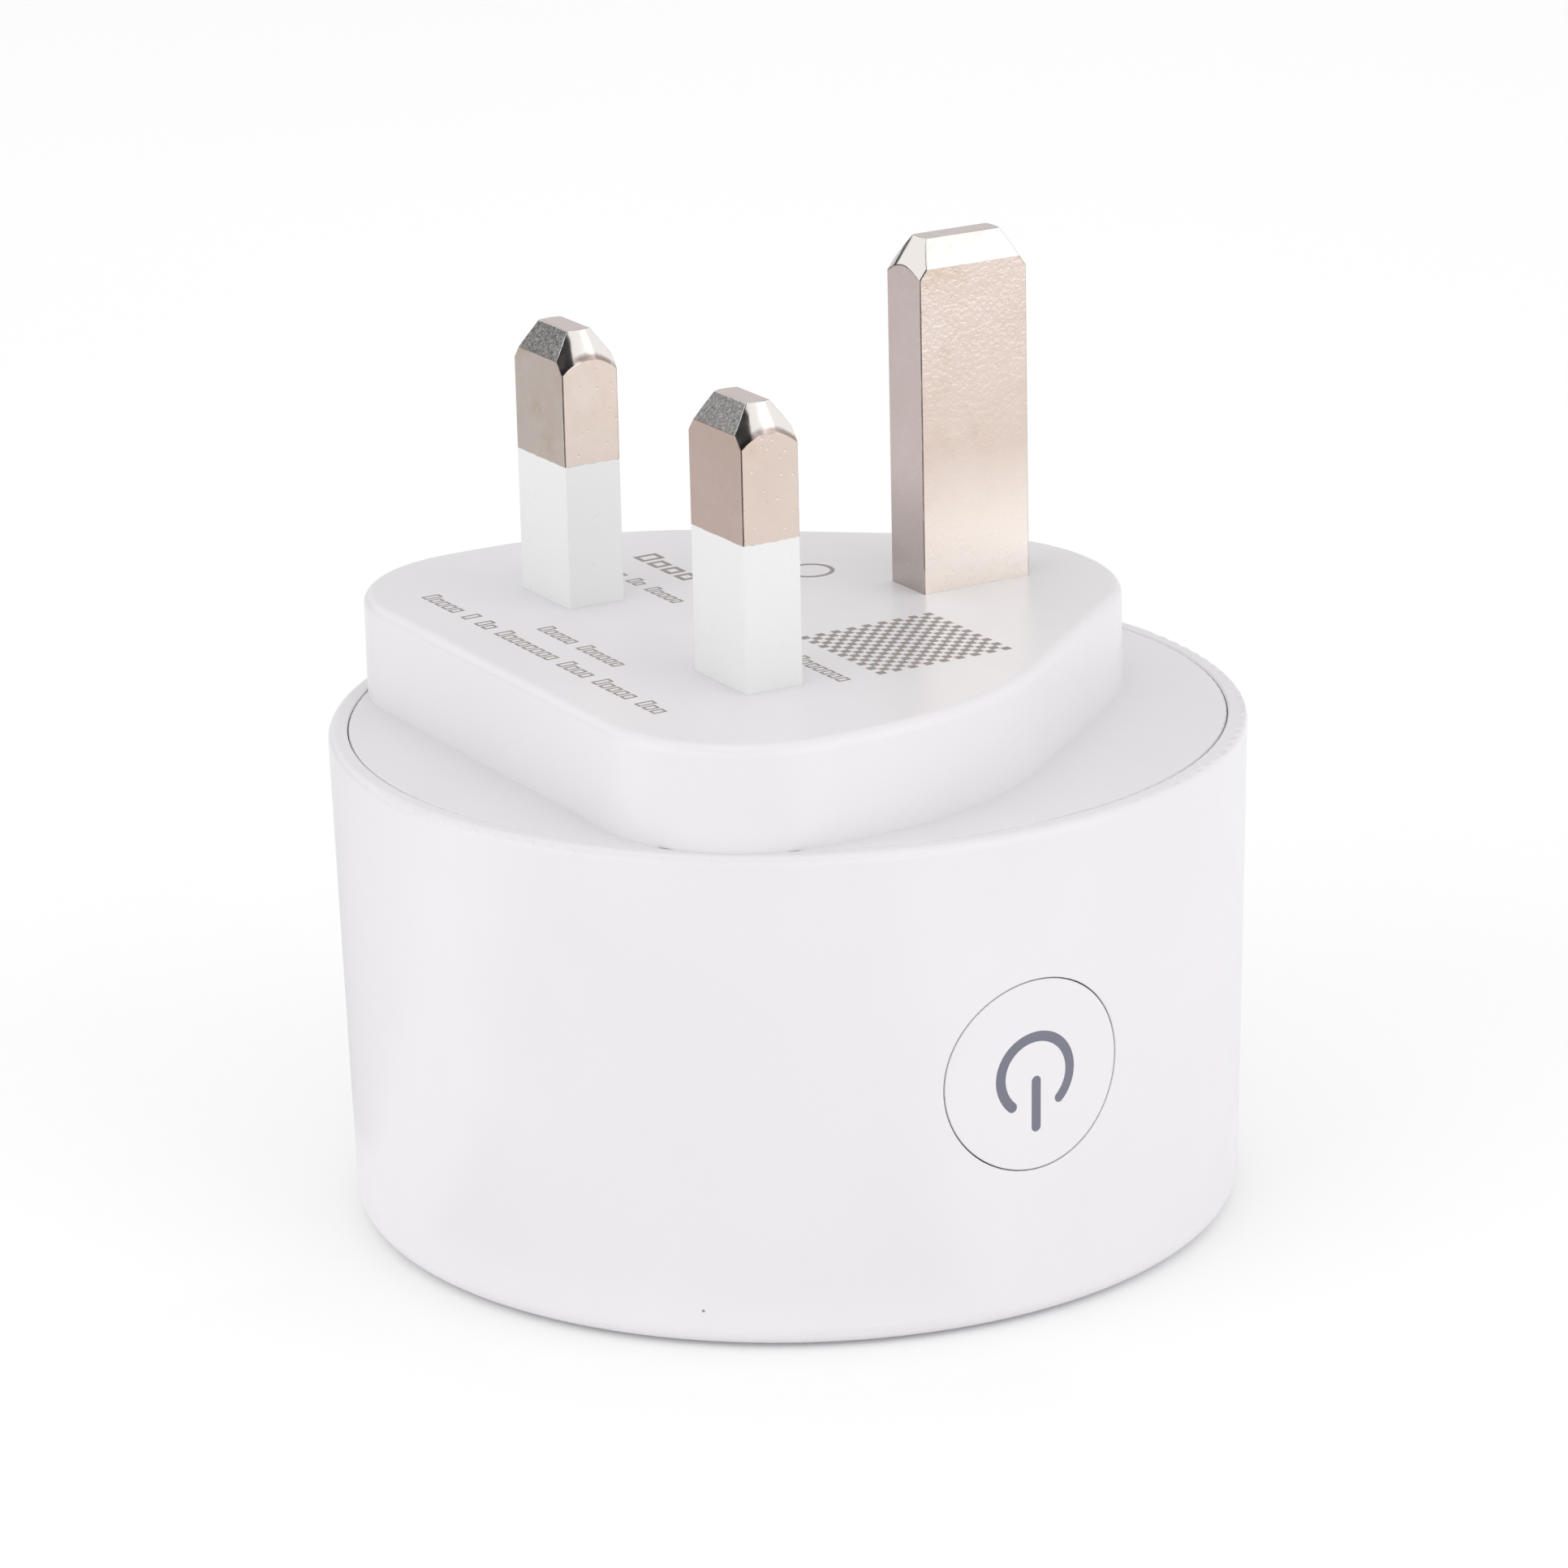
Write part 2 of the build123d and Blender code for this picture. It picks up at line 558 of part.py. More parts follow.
def make_main_board():
    board = rod(BOARD_R, BOARD_Z, BOARD_TOP)
    for side in SIDES:
        board -= centred(side * LIVE_X, LIVE_Y, TAIL_WIDE + 0.3, TAIL_THICK + 0.3, BOARD_Z - 1, BOARD_TOP + 1)
        board -= centred(side * LIVE_X, LIVE_Y - 3.2, 3.3, CONTACT_THICK + 0.3, BOARD_Z - 1, BOARD_TOP + 1)
    board -= centred(0.4, EARTH_Y, 2.2, 5.4, BOARD_Z - 1, BOARD_TOP + 1)
    for x, y in BOARD_POSTS:
        board -= rod(SCREW_HOLE_R + 0.1, BOARD_Z - 1, BOARD_TOP + 1, x, y)
    for y in HEADER_YS:
        board -= rod(0.55, BOARD_Z - 1, BOARD_TOP + 1, HEADER_X, y)
    for y in RELAY_PIN_YS:
        board -= rod(0.8, BOARD_Z - 1, BOARD_TOP + 1, RELAY_X, y)
    for x, y in lead_places():
        board -= rod(LEAD_R + 0.15, BOARD_Z - 1, BOARD_TOP + 1, x, y)
    return board


def make_board_screws():
    return [screw(x, y, BOARD_TOP, 5.6) for x, y in BOARD_POSTS]


def flat_bar(points, width, z0, thickness):
    """A flat conductor along a line in plan, lying on the board."""
    face = make_face(Polyline(*strip(points, width), close=True))
    return Pos(0, 0, z0) * extrude(face, thickness)


def make_line_feed_bar():
    """From the line pin's tail to the relay's common terminal."""
    start = (-LIVE_X - 0.6, LIVE_Y + 0.7)
    points = [start, (start[0], -6.0), (RELAY_X, -2.5), (RELAY_X, RELAY_PIN_YS[0] - 0.4)]
    return flat_bar(points, 2.2, BOARD_TOP, 0.8)


def make_line_load_bar():
    """From the relay's switched terminal round to the line contact's tab, as a metering shunt."""
    lane_x = RELAY_X - 4.0
    points = [
        (RELAY_X - 0.7, RELAY_PIN_YS[2]),
        (lane_x + 1, RELAY_PIN_YS[2]),
        (lane_x, RELAY_PIN_YS[2] - 2),
        (lane_x, -5.0),
        (-LIVE_X - 3.6, LIVE_Y),
        (-LIVE_X - 2.7, LIVE_Y - 3.2),
    ]
    return flat_bar(points, 2.0, BOARD_TOP, 0.8)


def make_neutral_link():
    """From the neutral pin's tail to the neutral contact's tab."""
    points = [(LIVE_X + 3.3, LIVE_Y + 0.2), (LIVE_X + 3.3, LIVE_Y - 4.4)]
    return flat_bar(points, 2.2, BOARD_TOP, 0.8)


# ---- electronics under the board ----
def hanging_can(x, y, radius, height):
    """An upright can under the board: a rounded, vented end, a crimp groove and two leads."""
    top = UNDERSIDE
    can = rod(radius, top - height, top, x, y)
    can = fillet(can.edges().filter_by(GeomType.CIRCLE).group_by(Axis.Z)[0], 0.4)
    can -= rod(radius + 1, top - 1.5, top - 0.9, x, y) - rod(radius - 0.3, top - 2, top, x, y)
    for turn in (0, 90):
        can -= Pos(x, y, top - height) * Rot(0, 0, turn) * Box(radius * 1.2, 0.25, 0.4)
    return can + leads(x, y)


def leads(x, y):
    """A hanging part's two wire leads, up through the board."""
    pair = [rod(LEAD_R, UNDERSIDE - 0.1, LEAD_TOP, x, y + side * LEAD_SPREAD) for side in SIDES]
    return pair[0] + pair[1]


def make_mains_capacitors():
    return [hanging_can(x, y, 3.15, 11.0) for x, y in MAINS_CAPACITORS]


def make_output_capacitor():
    x, y = OUTPUT_CAPACITOR
    return hanging_can(x, y, 2.45, 8.0)


def make_power_inductor():
    """A drum core with its winding between two flanges."""
    x, y = INDUCTOR
    low = UNDERSIDE - 8.5
    drum = rod(2.9, low, UNDERSIDE, x, y)
    for z in (low, UNDERSIDE - 1.1):
        drum += rod(3.5, z, z + 1.1, x, y)
    return drum + leads(x, y)


def make_varistor():
    x, y = VARISTOR
    disc = rod_y(4.6, y - 1.8, y + 1.8, x, 17.6)
    disc = fillet(disc.edges().filter_by(GeomType.CIRCLE), 0.9)
    for side in SIDES:
        disc += rod(LEAD_R, 19.0, LEAD_TOP, x + side * VARISTOR_SPREAD, y)
    return disc


def make_suppression_capacitor():
    case = block(-1.2, 11.4, -21.4, -15.7, 12.8, UNDERSIDE)
    case = fillet(case.edges().filter_by(Axis.Z), 0.5)
    for x, y in SUPPRESSOR_LEADS:
        case += rod(LEAD_R, UNDERSIDE - 0.1, LEAD_TOP, x, y)
    return case


def make_fusible_resistor():
    z = 21.4
    low_y, high_y = RESISTOR_LEAD_YS
    body = rod_y(1.5, low_y + 1, high_y - 1, RESISTOR_X, z)
    body = fillet(body.edges().filter_by(GeomType.CIRCLE), 0.6)
    for y in RESISTOR_LEAD_YS:
        body += rod(LEAD_R, z, LEAD_TOP, RESISTOR_X, y)
    return body + rod_y(LEAD_R, low_y, high_y, RESISTOR_X, z)


def chip(x, y, size_x, size_y, height, leads):
    """A surface-mount package on the board's upper side, with gull-wing leads along its long sides."""
    body = centred(x, y, size_x, size_y, BOARD_TOP + 0.15, BOARD_TOP + height)
    pitch = size_x / leads
    for i in range(leads):
        lead_x = x - size_x / 2 + pitch * (i + 0.5)
        for side in SIDES:
            reach = sorted((y + side * (size_y / 2 - 0.2), y + side * (size_y / 2 + 0.9)))
            body += block(lead_x - 0.2, lead_x + 0.2, reach[0], reach[1], BOARD_TOP, BOARD_TOP + 0.3)
    return body


def make_bridge_rectifier():
    return chip(12.8, -16.6, 4.7, 2.6, 2.4, 2)


def make_power_chip():
    return chip(4.0, -17.6, 4.9, 3.0, 1.5, 4)


def make_metering_chip():
    return chip(-3.0, -17.6, 6.0, 3.0, 1.5, 5)


def make_wifi_board():
    """The radio module's board, with its castellated edges."""
    board = block(-9.6, 8.4, -4.5, 7.5, BOARD_TOP + 0.05, BOARD_TOP + 0.85)
    for i in range(8):
        for y in (-4.5, 7.5):
            board -= rod(0.35, BOARD_TOP, BOARD_TOP + 1, -2.0 + i * 1.3, y)
    return board


def make_wifi_antenna():
    """The meandering antenna track at the module's end."""
    low = BOARD_TOP + 0.85
    track = block(-8.6, -8.1, -3.8, 6.8, low, low + TRACK_THICK)
    for i in range(6):
        y = -3.8 + i * 1.9
        track += block(-8.6, -4.8, y, y + 0.5, low, low + TRACK_THICK)
    for i in range(5):
        y = -3.8 + i * 1.9
        if i % 2 == 0:
            track += block(-5.3, -4.8, y, y + 2.4, low, low + TRACK_THICK)
            track -= block(-8.7, -8.0, y + 0.5, y + 1.9, low - 1, low + 1)
    return track


def make_wifi_shield():
    low = BOARD_TOP + 0.85
    can = block(-3.5, 7.8, -4.0, 7.0, low, low + 2.3)
    can = fillet(can.edges().filter_by(Axis.Z), 0.6)
    can = fillet(can.faces().sort_by(Axis.Z)[-1].edges(), 0.3)
    can -= block(-3.25, 7.55, -3.75, 6.75, low - 1, low + 2.05)
    return can


# ---- relay ----
def make_relay_case():
    x0, x1 = RELAY_X - RELAY_HALF, RELAY_X + RELAY_HALF
    case = block(x0, x1, RELAY_Y[0], RELAY_Y[1], RELAY_Z[0], RELAY_Z[1])
    case = fillet(case.edges().filter_by(Axis.Z), 0.8)
    case = fillet(case.faces().sort_by(Axis.Z)[0].edges(), 0.4)
    wall = RELAY_WALL
    inside = (RELAY_Y[0] + wall, RELAY_Y[1] - wall)
    return case - block(x0 + wall, x1 - wall, inside[0], inside[1], RELAY_Z[0] + wall, RELAY_Z[1] + 1)


def make_relay_base():
    """The base that closes the case, with its three terminals' slots."""
    gap = RELAY_WALL + 0.05
    half = RELAY_HALF - gap
    base = block(RELAY_X - half, RELAY_X + half, RELAY_Y[0] + gap, RELAY_Y[1] - gap, 23.4, RELAY_Z[1])
    for y in RELAY_PIN_YS:
        base -= centred(RELAY_X, y, 1.3, 0.9, 23, 26)
    return base


def make_relay_coil():
    """The bobbin with its winding, around the core."""
    coil = rod(3.4, 13.2, 21.6, RELAY_X, COIL_Y)
    for z in (12.5, 21.5):
        coil += centred(RELAY_X, COIL_Y, 7.6, 7.6, z, z + 0.8)
    return coil - rod(1.55, 12, 23, RELAY_X, COIL_Y)


def make_relay_yoke():
    """The iron core and the bent yoke that brings the field down to the armature."""
    yoke = rod(1.5, CORE_FACE_Z, 22.5, RELAY_X, COIL_Y)
    yoke += rod(2.9, CORE_FACE_Z, CORE_FACE_Z + 0.45, RELAY_X, COIL_Y)
    yoke += block(RELAY_X - 3, RELAY_X + 3, COIL_Y - 2.5, YOKE_Y + 1.1, 22.35, 23.35)
    yoke += block(RELAY_X - 3, RELAY_X + 3, YOKE_Y, YOKE_Y + 1.1, 11.6, 23.35)
    return yoke


def make_relay_armature():
    """The clapper plate under the core, and the sprung arm that carries the moving contact."""
    top = ARMATURE_Z + ARMATURE_THICK
    plate = block(RELAY_X - 3, RELAY_X + 3, -0.4, 11.4, ARMATURE_Z + 0.4, top)
    plate += block(RELAY_X - 2.2, RELAY_X + 2.2, 11.0, 12.2, ARMATURE_Z + 0.4, top)
    plate += block(RELAY_X - 2.2, RELAY_X + 2.2, 11.7, 12.2, ARMATURE_Z + 0.4, 20.6)
    plate += rod_y(1.2, 12.1, 12.7, RELAY_X, 19.2)
    return plate


def make_relay_terminals():
    """Two coil-side and common blades, and the fixed contact's blade."""
    blades = []
    for y in RELAY_PIN_YS[:2]:
        blades.append(centred(RELAY_X, y, 1.0, 0.5, 23.45, BOARD_TOP + 0.8))
    fixed = centred(RELAY_X, RELAY_PIN_YS[2], 3.6, 0.5, 17.0, 23.3)
    fixed += centred(RELAY_X, RELAY_PIN_YS[2], 1.0, 0.5, 23.2, BOARD_TOP + 0.8)
    fixed += rod_y(1.2, 13.45, 14.0, RELAY_X, 19.2)
    blades.append(fixed)
    return blades


# ---- button side ----
def make_button_cap():
    """The round cap, whose front follows the body's curve, with a flange behind the wall."""
    cap = rod_x(BUTTON_R, BUTTON_BACK_X, RIM_R + 2, 0, BUTTON_Z) & body_solid(0.03)
    cap = fillet(rings_along_x(cap, BUTTON_R, BOTTOM_R - WALL / 2), BUTTON_EASE)
    cap += rod_x(BUTTON_FLANGE_R, BUTTON_BACK_X, BUTTON_BACK_X + 0.9, 0, BUTTON_Z)
    cap -= rod_x(BUTTON_BORE_R, BUTTON_BACK_X - 1, BUTTON_FRONT_WALL_X, 0, BUTTON_Z)
    return cap - icon_prism(BUTTON_FRONT_WALL_X - 1, RIM_R + 2)


def icon_prism(x0, x1):
    """The standby sign, a broken ring with a stem across its gap, extruded along X."""
    half = ICON_STROKE / 2
    ring = Circle(ICON_R + half) - Circle(ICON_R - half)
    reach = ICON_R * 3
    spread = radians(ICON_GAP_ANGLE)
    corner = (reach * sin(spread), -reach * cos(spread))
    gap = [(0, 0), corner, (-corner[0], corner[1])]
    ring -= make_face(Polyline(*gap, close=True))
    for side in SIDES:
        ring += Pos(side * ICON_R * sin(spread), -ICON_R * cos(spread)) * Circle(half)
    stem_length = ICON_STEM_HIGH - ICON_STEM_LOW
    stem = SlotCenterToCenter(stem_length, ICON_STROKE, rotation=90)
    sign = ring + Pos(0, (ICON_STEM_HIGH + ICON_STEM_LOW) / 2) * stem
    return extrude(Plane.YZ.offset(x0) * Pos(0, BUTTON_Z) * sign, x1 - x0)


def make_power_icon():
    """The light diffuser: a disc inside the cap, the sign through its front, and a post to the switch."""
    sign = icon_prism(BUTTON_FRONT_WALL_X - 0.5, RIM_R + 2) & body_solid(0.05)
    disc = rod_x(BUTTON_BORE_R - 0.1, BUTTON_FRONT_WALL_X - 1.2, BUTTON_FRONT_WALL_X - 0.02, 0, BUTTON_Z)
    post = rod_x(1.5, BUTTON_POST_X, BUTTON_FRONT_WALL_X - 1, 0, BUTTON_Z)
    return sign + disc + post


def make_switch_body():
    """The push switch's case on the small board, with a bore for its plunger."""
    front = SWITCH_X + SWITCH_DEPTH
    case = block(SWITCH_X, front, -3, 3, BUTTON_Z - 3, BUTTON_Z + 3)
    case = chamfer(case.edges().filter_by(Axis.X), 0.5)
    case -= rod_x(PLUNGER_R + 0.08, front - 1.6, front + 1, 0, BUTTON_Z)
    for side in SIDES:
        for level in (BUTTON_Z - 2, BUTTON_Z + 2):
            lead = sorted((side * 2.9, side * 3.6))
            case += block(SWITCH_X, SWITCH_X + 0.4, lead[0], lead[1], level - 0.4, level + 0.4)
    return case


def make_switch_plunger():
    front = SWITCH_X + SWITCH_DEPTH
    return rod_x(PLUNGER_R, front - 1.2, PLUNGER_FRONT_X, 0, BUTTON_Z)


def make_button_board():
    board = block(BUTTON_BOARD_X, SWITCH_X, -7.5, 9.0, 8.4, BOARD_Z - 0.3)
    return fillet(board.edges().filter_by(Axis.X), 0.8)


def make_status_leds():
    """Two small lamps beside the switch."""
    lamps = []
    for side in SIDES:
        y = side * 5.0
        base = block(SWITCH_X, SWITCH_X + 0.5, y - 0.6, y + 0.6, BUTTON_Z - 1, BUTTON_Z + 1)
        dome = block(SWITCH_X + 0.5, SWITCH_X + 1.1, y - 0.5, y + 0.5, BUTTON_Z - 0.6, BUTTON_Z + 0.6)
        lamps.append(base + dome)
    return lamps


def make_board_header():
    """The four pins that carry the small board's signals up to the main board."""
    return [centred(HEADER_X, y, 0.64, 0.64, 21.5, BOARD_TOP + 0.8) for y in HEADER_YS]


PARTS = {
    "main_shell": make_main_shell,
    "socket_plate": make_socket_plate,
    "back_cover": make_back_cover,
    "pin_retainer": make_pin_retainer,
    "retainer_screws": make_retainer_screws,
    "line_pin": lambda: make_live_pin(-1),
    "neutral_pin": lambda: make_live_pin(1),
    "earth_pin": make_earth_pin,
    "line_pin_sleeve": lambda: make_sleeve(-1),
    "neutral_pin_sleeve": lambda: make_sleeve(1),
    "shutter": make_shutter,
    "shutter_spring": make_shutter_spring,
    "contact_carrier": make_contact_carrier,
    "carrier_screws": make_carrier_screws,
    "line_contact": lambda: make_live_contact(-1),
    "neutral_contact": lambda: make_live_contact(1),
    "earth_contact": make_earth_contact,
    "earth_strap": make_earth_strap,
    "main_board": make_main_board,
    "board_screws": make_board_screws,
    "line_feed_bar": make_line_feed_bar,
    "line_load_bar": make_line_load_bar,
    "neutral_link": make_neutral_link,
    "mains_capacitors": make_mains_capacitors,
    "output_capacitor": make_output_capacitor,
    "power_inductor": make_power_inductor,
    "varistor": make_varistor,
    "suppression_capacitor": make_suppression_capacitor,
    "fusible_resistor": make_fusible_resistor,
    "bridge_rectifier": make_bridge_rectifier,
    "power_chip": make_power_chip,
    "metering_chip": make_metering_chip,
    "wifi_board": make_wifi_board,
    "wifi_antenna": make_wifi_antenna,
    "wifi_shield": make_wifi_shield,
    "relay_case": make_relay_case,
    "relay_base": make_relay_base,
    "relay_coil": make_relay_coil,
    "relay_yoke": make_relay_yoke,
    "relay_armature": make_relay_armature,
    "relay_terminals": make_relay_terminals,
    "button_cap": make_button_cap,
    "power_icon": make_power_icon,
    "switch_body": make_switch_body,
    "switch_plunger": make_switch_plunger,
    "button_board": make_button_board,
    "status_leds": make_status_leds,
    "board_header": make_board_header,
}


def main():
    os.makedirs("parts", exist_ok=True)
    for name, make in PARTS.items():
        made = make()
        if isinstance(made, list):
            made = Compound(children=[solid for piece in made for solid in piece.solids()])
        export_step(made, f"parts/{name}.step")


main()
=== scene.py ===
import json
import math

import bmesh
import bpy
from mathutils import Matrix, Vector


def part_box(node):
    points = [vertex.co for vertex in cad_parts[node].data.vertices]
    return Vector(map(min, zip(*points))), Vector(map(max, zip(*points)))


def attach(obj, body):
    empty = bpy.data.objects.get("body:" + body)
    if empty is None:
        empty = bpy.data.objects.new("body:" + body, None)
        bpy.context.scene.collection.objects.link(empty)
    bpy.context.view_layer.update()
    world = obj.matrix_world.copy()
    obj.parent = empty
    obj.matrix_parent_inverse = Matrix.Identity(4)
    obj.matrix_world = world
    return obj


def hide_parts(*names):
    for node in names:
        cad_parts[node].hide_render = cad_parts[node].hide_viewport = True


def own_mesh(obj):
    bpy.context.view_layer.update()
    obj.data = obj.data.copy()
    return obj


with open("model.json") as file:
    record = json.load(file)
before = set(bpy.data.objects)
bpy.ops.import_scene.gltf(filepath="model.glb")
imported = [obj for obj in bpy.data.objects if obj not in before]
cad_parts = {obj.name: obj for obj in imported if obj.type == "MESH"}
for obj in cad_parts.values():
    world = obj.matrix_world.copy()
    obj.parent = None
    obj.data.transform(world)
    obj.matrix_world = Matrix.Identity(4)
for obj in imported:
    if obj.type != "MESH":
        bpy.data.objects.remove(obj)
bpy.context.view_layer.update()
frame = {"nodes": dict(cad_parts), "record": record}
nodes = frame["nodes"]

MM = 0.001

# ---- camera, in metres and degrees ----
VIEW_AZIMUTH = 59.8
VIEW_ELEVATION = 18.0
VIEW_DISTANCE = 0.3818
VIEW_AIM = Vector((-0.00016, -0.00028, 0.02671))
VIEW_ROLL = 1.32
LENS = 137.7
SENSOR_WIDTH = 36.0
CLIP_START = 0.01
CLIP_END = 20.0

# ---- studio: lengths in metres, directions in degrees, power in watts ----
FLOOR_R = 4.0
FLOOR_SIDES = 96
FLOOR_DROP = 0.0002
FLOOR_GLOW = 0.06
WORLD_STRENGTH = 0.93
LAMP_DISTANCE = 0.8
LAMP_SIZE = 0.8
# name, azimuth, elevation, power
LAMPS = (
    ("key_right", 118, 20, 1.3),
    ("fill_left", 5, 14, 1.6),
)
# name, azimuths, elevations, distance, shade
SCREENS = (
    ("screen_left", (268, 328), (-3, 16), 0.5, 0.05),
    ("screen_back", (190, 268), (-3, 45), 0.5, 0.6),
    ("screen_front_low", (-8, 82), (-3, 28), 0.55, 0.35),
    ("screen_front_high", (-8, 82), (28, 62), 0.55, 0.02),
)
# name, azimuths, nearest and farthest edge, shade
CARDS = (
    ("card_front", (-5, 85), (0.034, 0.5), 0.16),
    ("card_left", (275, 325), (0.034, 0.45), 0.62),
)
CARD_HEIGHT = 0.0003
SCREEN_ROWS = 4
SCREEN_COLUMNS = 16

# ---- details of the materials, lengths in millimetres ----
MOULD_DRIFT = 90.0  # noise scales of a moulding's colour, gloss and grain
MOULD_SHEEN = 360.0
MOULD_GRAIN = 2600.0
DUST_COLOUR = (0.22, 0.2, 0.19)
DUST_RADIUS = (0.008, 0.016)  # share of a cell: solid within the first, gone past the second
DUST_LEVEL = 0.55  # a cell whose random value is above this has a speck
GRIME_COLOUR = (0.3, 0.26, 0.24)
GRIME_DEPTH = 0.05
GRIME_FADE = 0.07
GRIME_RAGGED = 0.22
COIL_PITCH = 0.22
COIL_FLANGE = 0.395  # share of the coil's length, from its middle
COIL_RIDGE = 0.06
TRACK_HEIGHT = 0.035
METAL_GRAIN = (4000.0, 4000.0, 400.0)  # noise scales along X, Y and Z
METAL_RELIEF = 0.003
# place along the body, as a share of its length, and colour
RESISTOR_BANDS = ((0.36, (0.35, 0.12, 0.03)), (0.47, (0.01, 0.01, 0.01)), (0.58, (0.6, 0.45, 0.1)))
BAND_EDGE = (0.022, 0.028)  # half a band's width, as shares: solid within the first, gone past the second

# ---- the nickel of the pins: lengths in millimetres, heights above the socket face ----
LIVE_HALF_WIDTH = 3.175
ARCH_LINE = (0.15, 0.32)  # in from the live pins' narrow faces
LOW_HEIGHTS = (40.0, 47.0)  # the earth pin's foot has painted shades of its own, which fade out from the first up
ROUGH_HEIGHTS = (46.0, 54.0)  # the earth pin is roughest above the second
PIT_HEIGHTS = (44.0, 56.0)
PIT_SHARES = (0.06, 0.5)  # share of the cells that are pits below the first height and above the second
LIVE_PITS = 0.25  # the live pins have this share of the earth pin's pits
PIT_DEPTH = 0.018
ROUGH_DEPTH = 0.016
FILING_DEPTH = 0.1
BRUSHING_DEPTH = 0.003
NICKEL = (0.77, 0.68, 0.63)
NICKEL_TARNISHED = (0.71, 0.60, 0.53)
NICKEL_STAINED = (0.65, 0.52, 0.42)
# painted shades of single faces, standing in for their reflections: the broad faces, the right-hand live
# pin's front face and the earth pin's front face
NICKEL_BROAD_SHADE = (0.62, 0.49, 0.42)
NICKEL_NARROW_SHADE = (0.74, 0.50, 0.43)
NICKEL_EARTH_NARROW_SHADE = (0.94, 0.79, 0.80)
# painted shades on the earth pin's foot: lighter broad faces, darker narrow faces
NICKEL_LOW_BROAD_SHADE = (0.93, 0.85, 0.79)
NICKEL_LOW_NARROW_SHADE = (0.58, 0.52, 0.49)
# the bevels: partly a cleaner polish, partly a painted highlight; the tops: a painted shade
NICKEL_BEVEL_POLISH_AND_HIGHLIGHT = (0.92, 0.875, 0.84)
NICKEL_TOP_SHADE = (0.80, 0.69, 0.655)
# the filed bevels: a painted dark reflection, broken up by the filing's texture
NICKEL_FILED_SHADE = (0.13, 0.13, 0.135)
# the painted shade of the dark lines along edges and creases
NICKEL_EDGE_SHADE = (0.26, 0.185, 0.16)

# ---- the printed marks on the plug face, in millimetres ----
PRINT_STROKE = 0.14
PRINT_BOLD = 0.3
PRINT_PROUD = 0.012
PRINT_SINK = 0.01
BOX_SHARE = 0.74
# x from and to, y, height, stroke, boxes in each word
PRINT_LINES = (
    (-15.9, 14.6, -17.6, 1.25, PRINT_STROKE, (5, 1, 2, 8, 4, 5, 3)),
    (-5.4, 4.7, -14.9, 1.15, PRINT_STROKE, (5, 6)),
    (-15.8, -5.3, -5.0, 1.1, PRINT_STROKE, (4, 2, 5)),
    (5.6, 15.3, -5.1, 1.15, PRINT_STROKE, (3, 7)),
    (-16.3, -9.2, -1.9, 1.7, PRINT_BOLD, (4,)),
)
# x, y, radius
PRINT_RINGS = ((-7.0, 6.0, 1.6), (-11.0, 1.4, 1.3))
RING_STROKE = 0.28
RING_SIDES = 32
CHEQUER_CORNER = (5.6, -2.3)
CHEQUER_SIZE = 9.6
CHEQUER_COUNT = 17
CHEQUER_SHARE = 0.96

# ---- the shutter's spring, in metres and turns ----
WIRE_R = 0.18 * MM
TURNS = 10.5
CLOSED_TURNS = 1.0
CLOSED_PITCH = 2.1 * WIRE_R
STEPS_PER_TURN = 40
WIRE_SIDES = 10


